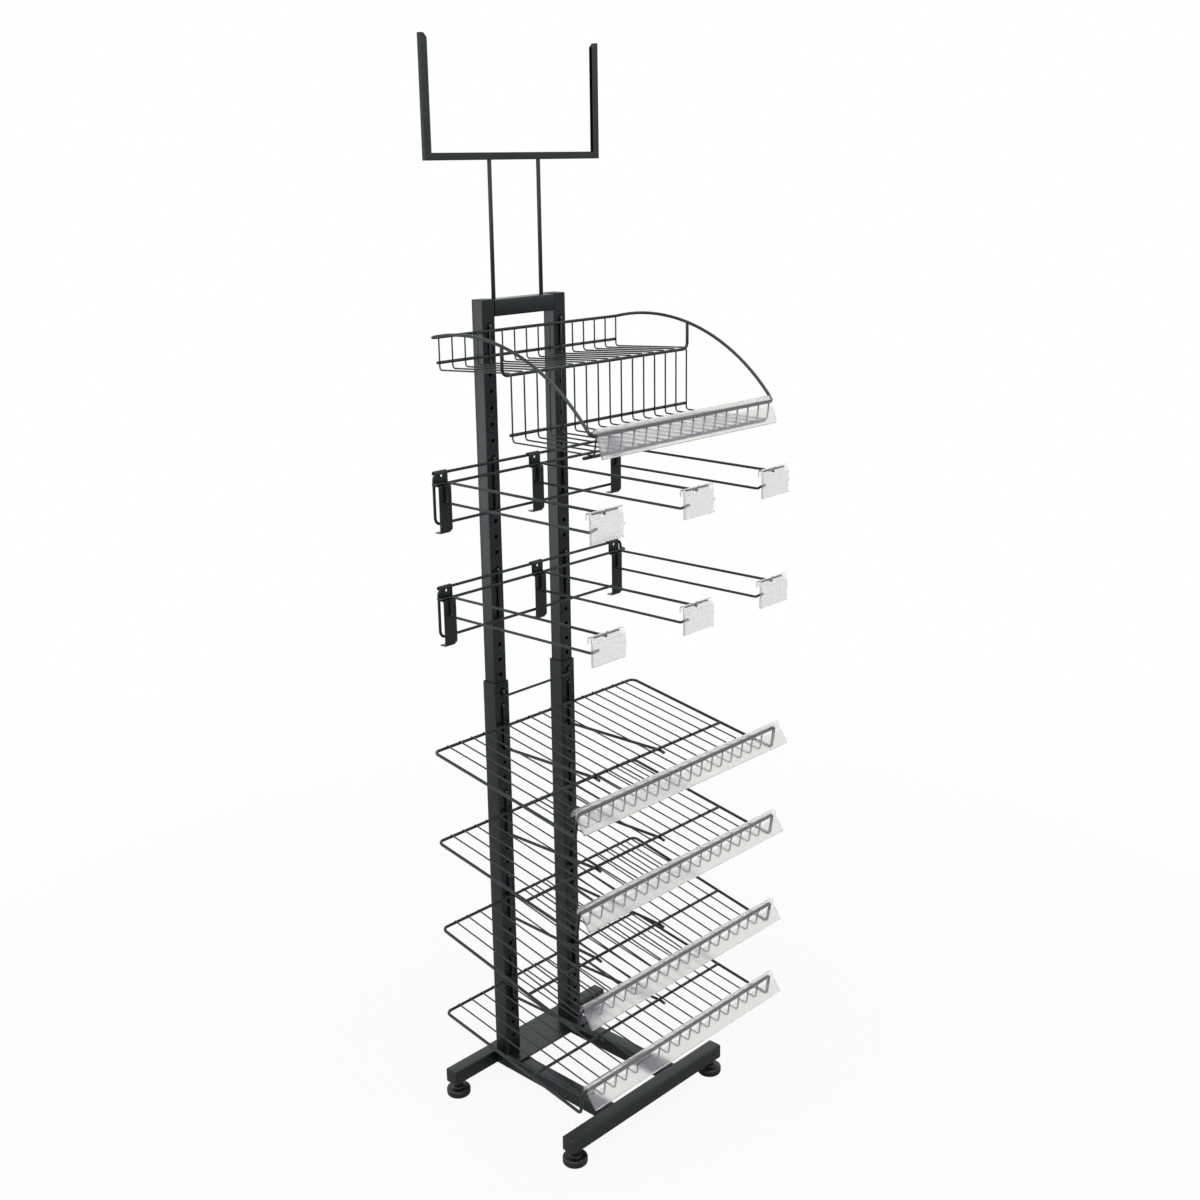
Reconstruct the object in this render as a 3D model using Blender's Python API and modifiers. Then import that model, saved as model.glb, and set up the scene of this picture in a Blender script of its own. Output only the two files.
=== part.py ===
"""Free-standing wire display rack: a two-piece mast on a tube base, four
tilted wire shelves, two bars of hooks, a stepped wire basket and a sign holder."""

import math

import bmesh
import bpy
from mathutils import Matrix, Vector

# Clearances and joining depths
GAP = 0.0003
WELD_FRAME = 0.0040
WELD_BAR = 0.00375
WELD_THIN = 0.00275

# Base
FLOOR_TO_TUBE = 0.025
BASE_TUBE = 0.025
BASE_WALL = 0.0015
BASE_RADIUS = 0.003
BASE_WIDTH = 0.364
BASE_DEPTH = 0.2755
PLATE_THICKNESS = 0.003
PLATE_SIDE = 0.013
PLATE_FRONT = 0.042
PLATE_REAR = 0.036
BOLT_DIAMETER = 0.008
BOLT_HEAD = 0.0125
BOLT_HEAD_HEIGHT = 0.005
BOLT_REACH = 0.010

# Feet
STEM_TO_PLUG = 0.0012
FOOT_DIAMETER = 0.040
FOOT_HEIGHT = 0.016
FOOT_NECK = 0.018
FOOT_SOCKET = 0.008
STEM_DIAMETER = 0.008
STEM_COLLAR = 0.0145
STEM_REACH = 0.018

# Mast
UPRIGHT_SPACING = 0.150
LOWER_TUBE = 0.030
LOWER_WALL = 0.0015
LOWER_RADIUS = 0.003
LOWER_ABOVE_SHELF = 0.0372
UPPER_TUBE = 0.025
UPPER_WALL = 0.0012
UPPER_RADIUS = 0.0025
UPPER_LENGTH = 0.7483
INSERTION = 0.150
HOLE_DIAMETER = 0.007
HOLE_PITCH = 0.025
HOLE_START = 0.0329
PLUG_FLANGE = 0.0018
TOP_PLUG_FLANGE = 0.0006
PLUG_DEPTH = 0.008
PIN_WIRE = 0.004
PIN_DROP = 0.009
PIN_REACH = 0.005

# Sign holder
SIGN_WIDTH = 0.356
SIGN_HEIGHT = 0.1695
SIGN_DEPTH = 0.007
SIGN_SHEET = 0.001
SIGN_LIP = 0.0125
SIGN_BAR = 0.0105
SIGN_CHAMFER = 0.006
SIGN_ABOVE_MAST = 0.1998
ROD_DIAMETER = 0.00635
ROD_SPACING = 0.100
ROD_SHIFT = -0.003
ROD_HOLE = 0.0073

# Wires of the shelves and the basket
FRAME_WIRE = 0.0048
THIN_WIRE = 0.0024
WIRE_PITCH = 0.025
BEND = 0.010
FRONT_BEND = 0.005
TIP_HEIGHT = 0.008
HOOK_BEND = 0.0031

# Shelves
SHELF_TOP_HEIGHT = 0.6865
SHELF_STEP = 0.150
SHELF_TILTS = (9.2, 9.8, 11.7, 9.0)
SHELF_WIDTH = 0.459
SHELF_DEPTH = 0.3035
SHELF_LIP = 0.037
SHELF_WIRES = 17
SHELF_DROP = 0.0347
SHELF_MID_RAIL = 0.198
BRACKET_DROP = 0.074

# Label strips
STRIP_SHEET = 0.0012
STRIP_SLOT = 0.0012
STRIP_RISE = 0.004
STRIP_LEG = 0.003
SHELF_STRIP_HEIGHT = 0.0275
SHELF_STRIP_LEAN = 45.0
SHELF_STRIP_OVERHANGS = (0.0055, -0.0005, -0.0025, -0.003)
SHELF_STRIP_SHIFTS = (0.0, 0.001, 0.003, 0.005)
BASKET_STRIP_HEIGHT = 0.030
BASKET_STRIP_LEAN = 33.0
BASKET_STRIP_INSET = 0.008

# Basket
BASKET_WIDTH = 0.394
BASKET_WIRES = 16
BASKET_REAR_DROP = 0.0085
BASKET_BACK_DROP = 0.045
BASKET_TIER_DROP = 0.0555
BASKET_TIER_Y = 0.1680
BASKET_TIER_RAIL = 0.0505
BASKET_FLOOR_DROP = 0.144
BASKET_RISER_RAIL = 0.1345
BASKET_FRONT_Y = 0.3345
BASKET_FRONT_DROP = 0.1157
BASKET_LIP_Y = 0.327
BASKET_ARC_RADIUS = 0.313
BASKET_ARC_STEPS = 8
BASKET_RAIL_OVERHANG = 0.0025
BASKET_WIRE_SHIFT = 0.0045

# Hook bars
BAR_WIRE = 0.0045
BAR_WIDTH = 0.4034
BAR_HEIGHT = 0.0762
BAR_DROP = 0.00575
BAR_SECOND_DROP = 0.015
BAR_SECOND_FORWARD = 0.0075
BAR_HEIGHTS = (1.0865, 0.9115)

# Hooks
HOOK_LEFT_INSET = 0.0122
HOOK_RIGHT_INSET = 0.0207
HOOK_MIDDLE_SHIFT = 0.002
HOOK_WIDTH = 0.024
HOOK_SHEET = 0.0015
HOOK_STEP = 0.007
HOOK_HEIGHT = 0.0886
HOOK_LIP = 0.012
HOOK_HOLE = 0.004
HOOK_HOLE_DROP = 0.0035
ARM_WIRE = 0.004
ARM_TOP = 0.012
ARM_BOTTOM = 0.043
ARM_REACH = 0.3325
ARM_RISES = (0.0, 0.0045)
ARM_LOWER_REACH = 0.3025
ARM_TIP = 0.014
ARM_TIP_RISE = 0.008
CROSS_WIRE = 0.003
CROSS_LENGTH = 0.050
CROSS_ABOVE_ARM = 0.003

# Ticket holders
TICKET_WIDTH = 0.066
TICKET_HEIGHT = 0.0395
TICKET_SHEET = 0.001
TICKET_SLOT = 0.0012
TICKET_LEG = 0.0075
TICKET_NOTCH = 0.0055
TICKET_OPENING = 0.006

# Heights and depths that follow from the sizes above
TUBE_TOP = FLOOR_TO_TUBE + BASE_TUBE
PLATE_TOP = TUBE_TOP + GAP + PLATE_THICKNESS
LOWER_BOTTOM = PLATE_TOP + GAP
FIRST_HOLE = LOWER_BOTTOM + HOLE_START


def hole_height(index):
    return FIRST_HOLE + index * HOLE_PITCH


def hole_at_or_below(height):
    return math.floor((height - FIRST_HOLE) / HOLE_PITCH + 1e-6)


def hole_near(height):
    return round((height - FIRST_HOLE) / HOLE_PITCH)


TOP_SHELF_HOLE = hole_near(SHELF_TOP_HEIGHT)
LOWER_TOP = hole_height(TOP_SHELF_HOLE) + LOWER_ABOVE_SHELF
UPPER_BOTTOM = LOWER_TOP - INSERTION
UPPER_TOP = UPPER_BOTTOM + UPPER_LENGTH
LAST_LOWER_HOLE = hole_at_or_below(LOWER_TOP - 1.4 * HOLE_DIAMETER)
FIRST_UPPER_HOLE = hole_at_or_below(UPPER_BOTTOM + HOLE_DIAMETER) + 1
LAST_UPPER_HOLE = hole_at_or_below(UPPER_TOP - UPPER_TUBE - HOLE_DIAMETER)
HALF_SPACING = UPRIGHT_SPACING / 2
PLATE_WIDTH = UPRIGHT_SPACING + 2 * PLATE_SIDE
INNER_FACE = UPPER_TUBE / 2 - UPPER_WALL
REAR_TUBE_Y = LOWER_TUBE / 2 + BASE_TUBE / 2
FRONT_TUBE_Y = REAR_TUBE_Y - BASE_DEPTH
BAR_Y = UPPER_TUBE / 2 + GAP + BAR_WIRE / 2 + WELD_BAR
CROSS_REACH = ARM_REACH - CROSS_WIRE / 3
TICKET_ARC = CROSS_WIRE / 2 + GAP + 1.5 * TICKET_SHEET
TICKET_FRONT = TICKET_ARC + 2.3 * TICKET_SHEET + TICKET_SLOT
REACH_FORWARD = BAR_Y + CROSS_REACH + TICKET_FRONT
DEPTH_SHIFT = (REACH_FORWARD - REAR_TUBE_Y - FOOT_DIAMETER / 2) / 2


# Scene, collections and materials
def clear_scene():
    for item in list(bpy.data.objects):
        bpy.data.objects.remove(item, do_unlink=True)


def new_collection(name):
    collection = bpy.data.collections.new(name)
    bpy.context.scene.collection.children.link(collection)
    return collection


def make_material(name, colour, roughness, metallic, transmission=0.0):
    material = bpy.data.materials.new(name)
    material.use_nodes = True
    shader = material.node_tree.nodes["Principled BSDF"]
    shader.inputs["Base Color"].default_value = (*colour, 1.0)
    shader.inputs["Roughness"].default_value = roughness
    shader.inputs["Metallic"].default_value = metallic
    shader.inputs["Transmission Weight"].default_value = transmission
    return material


def finish(item, name, material, location=(0, 0, 0), rotation=(0, 0, 0)):
    item.name = name
    item.data.name = name
    item.location = Vector(location) + Vector((0, DEPTH_SHIFT, 0))
    item.rotation_euler = rotation
    item.data.materials.clear()
    item.data.materials.append(material)
    for polygon in item.data.polygons:
        polygon.use_smooth = True
    item.data.set_sharp_from_angle(angle=math.radians(35))
    return item


# Points along a bent line
def fillet(before, corner, after, radius, steps):
    to_before = (before - corner).normalized()
    to_after = (after - corner).normalized()
    half = to_before.angle(to_after) / 2
    reach = radius / math.tan(half)
    centre = corner + (to_before + to_after).normalized() * (radius / math.sin(half))
    start = corner + to_before * reach - centre
    end = corner + to_after * reach - centre
    turn = start.angle(end)
    points = []
    for step in range(steps + 1):
        share = step / steps
        weight_start = math.sin((1 - share) * turn) / math.sin(turn)
        weight_end = math.sin(share * turn) / math.sin(turn)
        points.append(centre + start * weight_start + end * weight_end)
    return points


def bent_line(corners, radius, steps=2, closed=False, plain=(), tight=(), tight_radius=HOOK_BEND):
    corners = [Vector(corner) for corner in corners]
    count = len(corners)
    points = []
    for index, corner in enumerate(corners):
        at_end = not closed and index in (0, count - 1)
        if at_end or index in plain:
            points.append(corner)
        else:
            before = corners[index - 1]
            after = corners[(index + 1) % count]
            bend = tight_radius if index in tight else radius
            points.extend(fillet(before, corner, after, bend, steps))
    return points


def in_plane(x, path):
    return [Vector((x, y, z)) for y, z in path]


# Shapes
def link_mesh(mesh):
    item = bpy.data.objects.new(mesh.name, mesh)
    parts.objects.link(item)
    return item


def mesh_from_curve(curve):
    item = bpy.data.objects.new(curve.name, curve)
    parts.objects.link(item)
    bpy.context.view_layer.update()
    evaluated = item.evaluated_get(bpy.context.evaluated_depsgraph_get())
    mesh = bpy.data.meshes.new_from_object(evaluated)
    shape = bmesh.new()
    shape.from_mesh(mesh)
    bmesh.ops.remove_doubles(shape, verts=shape.verts, dist=0.00001)
    bmesh.ops.recalc_face_normals(shape, faces=shape.faces)
    shape.to_mesh(mesh)
    shape.free()
    solid = link_mesh(mesh)
    solid.matrix_world = item.matrix_world
    bpy.data.objects.remove(item, do_unlink=True)
    bpy.data.curves.remove(curve)
    return solid


def wires(paths, diameter, resolution=1, closed=False):
    curve = bpy.data.curves.new("wires", "CURVE")
    curve.dimensions = "3D"
    curve.bevel_depth = diameter / 2
    curve.bevel_resolution = resolution
    curve.use_fill_caps = True
    for path in paths:
        spline = curve.splines.new("POLY")
        spline.points.add(len(path) - 1)
        for point, place in zip(spline.points, path):
            point.co = (*place, 1.0)
        spline.use_cyclic_u = closed
    return mesh_from_curve(curve)


def flat_outline(loops, thickness):
    curve = bpy.data.curves.new("outline", "CURVE")
    curve.dimensions = "2D"
    curve.fill_mode = "BOTH"
    curve.extrude = thickness / 2
    for loop in loops:
        spline = curve.splines.new("POLY")
        spline.points.add(len(loop) - 1)
        for point, place in zip(spline.points, loop):
            point.co = (place[0], place[1], 0.0, 1.0)
        spline.use_cyclic_u = True
    return mesh_from_curve(curve)


def rounded_square(size, radius, steps=2):
    half = size / 2
    corners = [(half, -half, 0), (half, half, 0), (-half, half, 0), (-half, -half, 0)]
    return [point.to_2d() for point in bent_line(corners, radius, steps, closed=True)]


def square_tube(size, wall, radius, length):
    inner = rounded_square(size - 2 * wall, max(radius - wall, wall / 2))
    return flat_outline([rounded_square(size, radius), inner], length)


def tube_plug(size, wall, radius, flange=PLUG_FLANGE):
    inside = size - 2 * wall - 2 * GAP
    sections = [
        (rounded_square(size, radius), flange),
        (rounded_square(size, radius), 0.0),
        (rounded_square(inside, max(radius - wall, wall / 2)), 0.0),
        (rounded_square(inside, max(radius - wall, wall / 2)), -PLUG_DEPTH),
    ]
    shape = bmesh.new()
    rings = []
    for outline, height in sections:
        rings.append([shape.verts.new((x, y, height)) for x, y in outline])
    for upper, lower in zip(rings, rings[1:]):
        for index in range(len(upper)):
            after = (index + 1) % len(upper)
            shape.faces.new((upper[index], lower[index], lower[after], upper[after]))
    shape.faces.new(rings[0])
    shape.faces.new(reversed(rings[-1]))
    bmesh.ops.recalc_face_normals(shape, faces=shape.faces)
    mesh = bpy.data.meshes.new("plug")
    shape.to_mesh(mesh)
    shape.free()
    return link_mesh(mesh)


def box(size, centre):
    mesh = bpy.data.meshes.new("box")
    shape = bmesh.new()
    place = Matrix.Translation(centre) @ Matrix.Diagonal((*size, 1.0))
    bmesh.ops.create_cube(shape, size=1.0, matrix=place)
    shape.to_mesh(mesh)
    shape.free()
    return link_mesh(mesh)


def cylinders(centres, diameter, length, axis="Z", sides=8):
    turn = Matrix.Identity(4)
    if axis == "Y":
        turn = Matrix.Rotation(math.pi / 2, 4, "X")
    mesh = bpy.data.meshes.new("cylinders")
    shape = bmesh.new()
    radius = diameter / 2 / math.cos(math.pi / sides)
    for centre in centres:
        bmesh.ops.create_cone(
            shape,
            cap_ends=True,
            segments=sides,
            radius1=radius,
            radius2=radius,
            depth=length,
            matrix=Matrix.Translation(centre) @ turn,
        )
    shape.to_mesh(mesh)
    shape.free()
    return link_mesh(mesh)


def turned(profile, steps):
    mesh = bpy.data.meshes.new("turned")
    shape = bmesh.new()
    verts = [shape.verts.new((radius, 0, height)) for radius, height in profile]
    for upper, lower in zip(verts, verts[1:]):
        shape.edges.new((upper, lower))
    shape.to_mesh(mesh)
    shape.free()
    item = link_mesh(mesh)
    screw = item.modifiers.new("Turn", "SCREW")
    screw.steps = steps
    screw.render_steps = steps
    screw.use_merge_vertices = True
    screw.merge_threshold = 0.00001
    return item


def combine(target, tool, operation):
    boolean = target.modifiers.new(operation.title(), "BOOLEAN")
    boolean.operation = operation
    boolean.solver = "EXACT"
    boolean.object = tool
    bpy.context.view_layer.update()
    evaluated = target.evaluated_get(bpy.context.evaluated_depsgraph_get())
    mesh = bpy.data.meshes.new_from_object(evaluated)
    target.modifiers.remove(boolean)
    target.data = mesh
    return target


def weld(target, *others):
    for other in others:
        combine(target, other, "UNION")
        bpy.data.objects.remove(other, do_unlink=True)
    return target


def cut(target, name, cutter):
    cutter.name = name
    parts.objects.unlink(cutter)
    cutters.objects.link(cutter)
    cutter.hide_render = True
    cutter.display_type = "WIRE"
    combine(target, cutter, "DIFFERENCE")
    return target


def sheet_section(path, thickness):
    points = [Vector(point) for point in path]
    left = []
    right = []
    for index, point in enumerate(points):
        before = points[max(index - 1, 0)]
        after = points[min(index + 1, len(points) - 1)]
        normals = []
        for start, end in ((before, point), (point, after)):
            if (end - start).length > 0:
                along = (end - start).normalized()
                normals.append(Vector((-along.y, along.x)))
        middle = (normals[0] + normals[-1]).normalized()
        offset = middle * (thickness / 2 / middle.dot(normals[0]))
        left.append(point + offset)
        right.append(point - offset)
    return left + right[::-1]


def bent_sheet(path, thickness, width):
    item = flat_outline([sheet_section(path, thickness)], width)
    # The section is drawn as depth and height, then turned to stand across the rack
    turn = Matrix(((0, 0, 1), (1, 0, 0), (0, 1, 0))).to_4x4()
    item.data.transform(turn)
    return item


def arc(centre, radius, start, end, steps):
    points = []
    for step in range(steps + 1):
        angle = math.radians(start + (end - start) * step / steps)
        points.append((centre[0] + radius * math.cos(angle), centre[1] + radius * math.sin(angle)))
    return points


# Base
def build_base():
    centre_z = FLOOR_TO_TUBE + BASE_TUBE / 2
    tube_length = BASE_WIDTH - 2 * (PLUG_FLANGE + GAP)
    foot_x = tube_length / 2 - PLUG_DEPTH - STEM_TO_PLUG - STEM_DIAMETER / 2
    stem_hole = STEM_DIAMETER + 2 * GAP
    for name, y in (("base_rear_tube", REAR_TUBE_Y), ("base_front_tube", FRONT_TUBE_Y)):
        tube = square_tube(BASE_TUBE, BASE_WALL, BASE_RADIUS, tube_length)
        tube.data.transform(Matrix.Rotation(math.pi / 2, 4, "Y"))
        centres = [(side * foot_x, 0, -BASE_TUBE / 2) for side in (-1, 1)]
        cut(tube, name + "_stem_holes", cylinders(centres, stem_hole, 4 * BASE_WALL))
        finish(tube, name, black_metal, (0, y, centre_z))
        for side, end in ((-1, "left"), (1, "right")):
            plug = tube_plug(BASE_TUBE, BASE_WALL, BASE_RADIUS)
            plug_name = name.replace("tube", "plug_") + end
            place = (side * (tube_length / 2 + GAP), y, centre_z)
            finish(plug, plug_name, black_plastic, place, (0, side * math.pi / 2, 0))
            foot_name = name.split("_")[1] + "_" + end
            build_foot(foot_name, side * foot_x, y)

    rear_end = REAR_TUBE_Y - BASE_TUBE / 2 - GAP
    front_end = FRONT_TUBE_Y + BASE_TUBE / 2 + GAP
    bolt_hole = BOLT_DIAMETER + 2 * GAP
    for side, end in ((-1, "left"), (1, "right")):
        tube = square_tube(BASE_TUBE, BASE_WALL, BASE_RADIUS, rear_end - front_end)
        tube.data.transform(Matrix.Rotation(math.pi / 2, 4, "X"))
        middle = (rear_end + front_end) / 2
        cutter = cylinders([(0, -middle, 0)], bolt_hole, 2 * BASE_TUBE)
        cut(tube, "base_side_bolt_hole_" + end, cutter)
        place = (side * HALF_SPACING, middle, centre_z)
        finish(tube, "base_side_tube_" + end, black_metal, place)
        build_bolt(end, side * HALF_SPACING)

    depth = PLATE_FRONT + PLATE_REAR
    plate = box((PLATE_WIDTH, depth, PLATE_THICKNESS), (0, (PLATE_REAR - PLATE_FRONT) / 2, 0))
    centres = [(side * HALF_SPACING, 0, 0) for side in (-1, 1)]
    cut(plate, "plate_bolt_holes", cylinders(centres, bolt_hole, 2 * PLATE_THICKNESS))
    finish(plate, "base_plate", black_metal, (0, 0, TUBE_TOP + GAP + PLATE_THICKNESS / 2))


def build_bolt(end, x):
    shank = FLOOR_TO_TUBE - GAP
    top = LOWER_BOTTOM + BOLT_REACH
    length = top - shank
    head_centre = (0, 0, -BOLT_HEAD_HEIGHT / 2)
    head = cylinders([head_centre], BOLT_HEAD, BOLT_HEAD_HEIGHT, sides=6)
    body = cylinders([(0, 0, length / 2 - GAP)], BOLT_DIAMETER, length + 2 * GAP)
    weld(head, body)
    finish(head, "base_bolt_" + end, zinc, (x, 0, shank))


def build_foot(name, x, y):
    stem = STEM_DIAMETER / 2
    socket = stem + GAP
    radius = FOOT_DIAMETER / 2
    shoulder = FOOT_HEIGHT * 0.56
    pad = turned(
        [
            (0, FOOT_HEIGHT - FOOT_SOCKET),
            (socket, FOOT_HEIGHT - FOOT_SOCKET),
            (socket, FOOT_HEIGHT),
            (FOOT_NECK / 2, FOOT_HEIGHT),
            (FOOT_NECK / 2 + GAP, FOOT_HEIGHT - PLATE_THICKNESS / 2),
            (radius - PLATE_THICKNESS, FOOT_HEIGHT - PLATE_THICKNESS),
            (radius, shoulder),
            (radius, PLATE_THICKNESS / 2),
            (radius - PLATE_THICKNESS / 2, 0),
            (0, 0),
        ],
        12,
    )
    finish(pad, "foot_pad_" + name, black_plastic, (x, y, 0))
    bottom = FOOT_HEIGHT - FOOT_SOCKET + GAP
    screw = turned(
        [
            (0, FLOOR_TO_TUBE + STEM_REACH),
            (stem, FLOOR_TO_TUBE + STEM_REACH),
            (stem, FLOOR_TO_TUBE - GAP),
            (STEM_COLLAR / 2, FLOOR_TO_TUBE - GAP),
            (STEM_COLLAR / 2, FOOT_HEIGHT + GAP),
            (stem, FOOT_HEIGHT + GAP),
            (stem, bottom),
            (0, bottom),
        ],
        8,
    )
    finish(screw, "foot_stem_" + name, black_plastic, (x, y, 0))


# Mast
def upright(name, size, wall, radius, length, bottom, first, last, side):
    tube = square_tube(size, wall, radius, length)
    middle = bottom + length / 2
    centres = []
    for index in range(first, last + 1):
        centres.append((0, -size / 2, hole_height(index) - middle))
    cutter = cylinders(centres, HOLE_DIAMETER, 4 * wall, axis="Y", sides=6)
    cut(tube, name + "_holes", cutter)
    finish(tube, name, black_metal, (side * HALF_SPACING, 0, middle))


def build_mast():
    for side, end in ((-1, "left"), (1, "right")):
        upright("lower_upright_" + end, LOWER_TUBE, LOWER_WALL, LOWER_RADIUS, LOWER_TOP - LOWER_BOTTOM,
                LOWER_BOTTOM, 0, LAST_LOWER_HOLE, side)
        upright("upper_upright_" + end, UPPER_TUBE, UPPER_WALL, UPPER_RADIUS, UPPER_LENGTH,
                UPPER_BOTTOM, FIRST_UPPER_HOLE, LAST_UPPER_HOLE, side)
        plug = tube_plug(UPPER_TUBE, UPPER_WALL, UPPER_RADIUS, TOP_PLUG_FLANGE)
        place = (side * HALF_SPACING, 0, UPPER_TOP + GAP)
        finish(plug, "upright_plug_" + end, black_plastic, place)

    length = UPRIGHT_SPACING - UPPER_TUBE - 2 * GAP
    cross = square_tube(UPPER_TUBE, UPPER_WALL, UPPER_RADIUS, length)
    cross.data.transform(Matrix.Rotation(math.pi / 2, 4, "Y"))
    centres = [(side * ROD_SPACING / 2 + ROD_SHIFT, 0, UPPER_TUBE / 2) for side in (-1, 1)]
    cut(cross, "cross_tube_rod_holes", cylinders(centres, ROD_HOLE, 4 * UPPER_WALL, sides=12))
    finish(cross, "top_cross_tube", black_metal, (0, 0, UPPER_TOP - UPPER_TUBE / 2))

    seat = HOLE_DIAMETER / 2 - PIN_WIRE / 2 - GAP
    front = -(LOWER_TUBE / 2 + PIN_WIRE)
    tip = -(INNER_FACE - PIN_REACH)
    corners = [
        (-HALF_SPACING, tip, 0),
        (-HALF_SPACING, front, 0),
        (-HALF_SPACING, front, -PIN_DROP),
        (HALF_SPACING, front, -PIN_DROP),
        (HALF_SPACING, front, 0),
        (HALF_SPACING, tip, 0),
    ]
    pin = wires([bent_line(corners, PIN_WIRE)], PIN_WIRE, resolution=2)
    finish(pin, "locking_pin", black_metal, (0, 0, hole_height(LAST_LOWER_HOLE) - seat))


# Sign holder
def build_sign():
    half = SIGN_WIDTH / 2
    inside = half - SIGN_LIP
    chamfer = SIGN_CHAMFER
    outline = [
        (-half, 0),
        (half, 0),
        (half, SIGN_HEIGHT),
        (inside + chamfer, SIGN_HEIGHT),
        (inside, SIGN_HEIGHT - chamfer),
        (inside, SIGN_BAR),
        (-inside, SIGN_BAR),
        (-inside, SIGN_HEIGHT - chamfer),
        (-inside - chamfer, SIGN_HEIGHT),
        (-half, SIGN_HEIGHT),
    ]
    frame = flat_outline([outline], SIGN_DEPTH)
    frame.data.transform(Matrix.Rotation(math.pi / 2, 4, "X"))
    slot_size = (SIGN_WIDTH - 2 * SIGN_SHEET, SIGN_DEPTH - 2 * SIGN_SHEET, SIGN_HEIGHT)
    slot = box(slot_size, (0, 0, SIGN_HEIGHT / 2 + SIGN_SHEET))
    cut(frame, "sign_slot", slot)
    bottom = UPPER_TOP + SIGN_ABOVE_MAST
    finish(frame, "sign_frame", black_metal, (0, 0, bottom))
    rod_bottom = UPPER_TOP - UPPER_TUBE + UPPER_WALL + GAP
    length = bottom - GAP - rod_bottom
    for side, end in ((-1, "left"), (1, "right")):
        rod = cylinders([(0, 0, 0)], ROD_DIAMETER, length, sides=8)
        place = (side * ROD_SPACING / 2 + ROD_SHIFT, 0, rod_bottom + length / 2)
        finish(rod, "sign_rod_" + end, black_metal, place)


# Hanging pieces: every one has its origin on the line where it turns in the holes
def hanger(x, wire, tube_size, drop):
    tip = GAP + wire / 2 + GAP / 3
    front = INNER_FACE - tube_size / 2 - GAP - wire / 2
    return [(x, tip, TIP_HEIGHT), (x, tip, 0), (x, front, 0), (x, front, -drop)]


def pivot(index, wire):
    seat = HOLE_DIAMETER / 2 - wire / 2 - GAP
    return (0, -INNER_FACE, hole_height(index) - seat)


def label_strip(name, width, height, lean, origin, tilt, place):
    rail = FRAME_WIRE / 2
    rear = WELD_THIN + THIN_WIRE / 2
    inner = (rail + rear) / 2 + GAP
    middle = inner + STRIP_SHEET / 2
    centre = ((rear - rail) / 2, STRIP_RISE)
    front = centre[0] - middle
    angle = math.radians(lean)
    down = Vector((-math.sin(angle), -math.cos(angle)))
    out = Vector((-math.cos(angle), math.sin(angle)))
    pitch = STRIP_SHEET + STRIP_SLOT
    path = [Vector((centre[0] + middle, -STRIP_LEG))]
    path += [Vector(point) for point in arc(centre, middle, 0, 180, 4)]
    knee = Vector((front, -STRIP_SHEET))
    path.append(knee)
    bottom = knee + down * height
    path.append(bottom)
    path.append(bottom + out * pitch)
    path.append(knee + out * pitch + down * (4 * STRIP_SHEET))
    strip = bent_sheet(path, STRIP_SHEET, width)
    strip_place = Vector(place) + Vector(origin)
    finish(strip, name, clear_plastic, strip_place, (tilt, 0, 0))


def build_shelf(number, index):
    tilt = math.radians(SHELF_TILTS[number])
    seat = HOLE_DIAMETER / 2 - FRAME_WIRE / 2 - GAP
    half = (SHELF_WIDTH - FRAME_WIRE) / 2
    bracket_y = INNER_FACE - LOWER_TUBE / 2 - GAP - FRAME_WIRE / 2
    rail_y = bracket_y - WELD_FRAME
    rail_z = seat - SHELF_DROP

    def on_shelf(x, along, above):
        y = rail_y - along * math.cos(tilt) - above * math.sin(tilt)
        z = rail_z - along * math.sin(tilt) + above * math.cos(tilt)
        return Vector((x, y, z))

    corners = [
        on_shelf(-half, 0, 0),
        on_shelf(-half, SHELF_DEPTH, 0),
        on_shelf(-half, SHELF_DEPTH, SHELF_LIP),
        on_shelf(half, SHELF_DEPTH, SHELF_LIP),
        on_shelf(half, SHELF_DEPTH, 0),
        on_shelf(half, 0, 0),
    ]
    loop = bent_line(corners, BEND, closed=True, tight=(1, 2, 3, 4), tight_radius=FRONT_BEND)
    rim = wires([loop], FRAME_WIRE, closed=True)
    mid = [on_shelf(-half, SHELF_MID_RAIL, 0), on_shelf(half, SHELF_MID_RAIL, 0)]
    mid_rail = wires([mid], FRAME_WIRE)
    floor = []
    inside_lip = SHELF_DEPTH - WELD_THIN
    for wire in range(SHELF_WIRES):
        x = (wire - (SHELF_WIRES - 1) / 2) * WIRE_PITCH
        path = [
            on_shelf(x, -THIN_WIRE / 2, WELD_THIN),
            on_shelf(x, inside_lip, WELD_THIN),
            on_shelf(x, inside_lip, SHELF_LIP + GAP),
        ]
        floor.append(bent_line(path, BEND / 2, steps=1))
    floor_wires = wires(floor, THIN_WIRE, resolution=0)
    brackets = []
    for side in (-1, 1):
        x = side * HALF_SPACING
        path = hanger(x, FRAME_WIRE, LOWER_TUBE, BRACKET_DROP - seat)
        below = on_shelf(x, SHELF_MID_RAIL, -WELD_FRAME)
        path.append(below)
        path.append(below + Vector((0, -2 * FRAME_WIRE, -FRAME_WIRE / 2)))
        brackets.append(bent_line(path, FRAME_WIRE, plain=(4,), tight=(1, 2)))
    bracket_wires = wires(brackets, FRAME_WIRE)
    shelf = weld(rim, mid_rail, bracket_wires, floor_wires)
    name = "shelf_" + str(number + 1)
    place = pivot(index, FRAME_WIRE)
    finish(shelf, name, black_metal, place)
    strip_name = "shelf_label_strip_" + str(number + 1)
    origin = on_shelf(SHELF_STRIP_SHIFTS[number], SHELF_DEPTH, SHELF_LIP)
    width = SHELF_WIDTH + 2 * SHELF_STRIP_OVERHANGS[number]
    label_strip(strip_name, width, SHELF_STRIP_HEIGHT, SHELF_STRIP_LEAN, origin, tilt, place)


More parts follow.
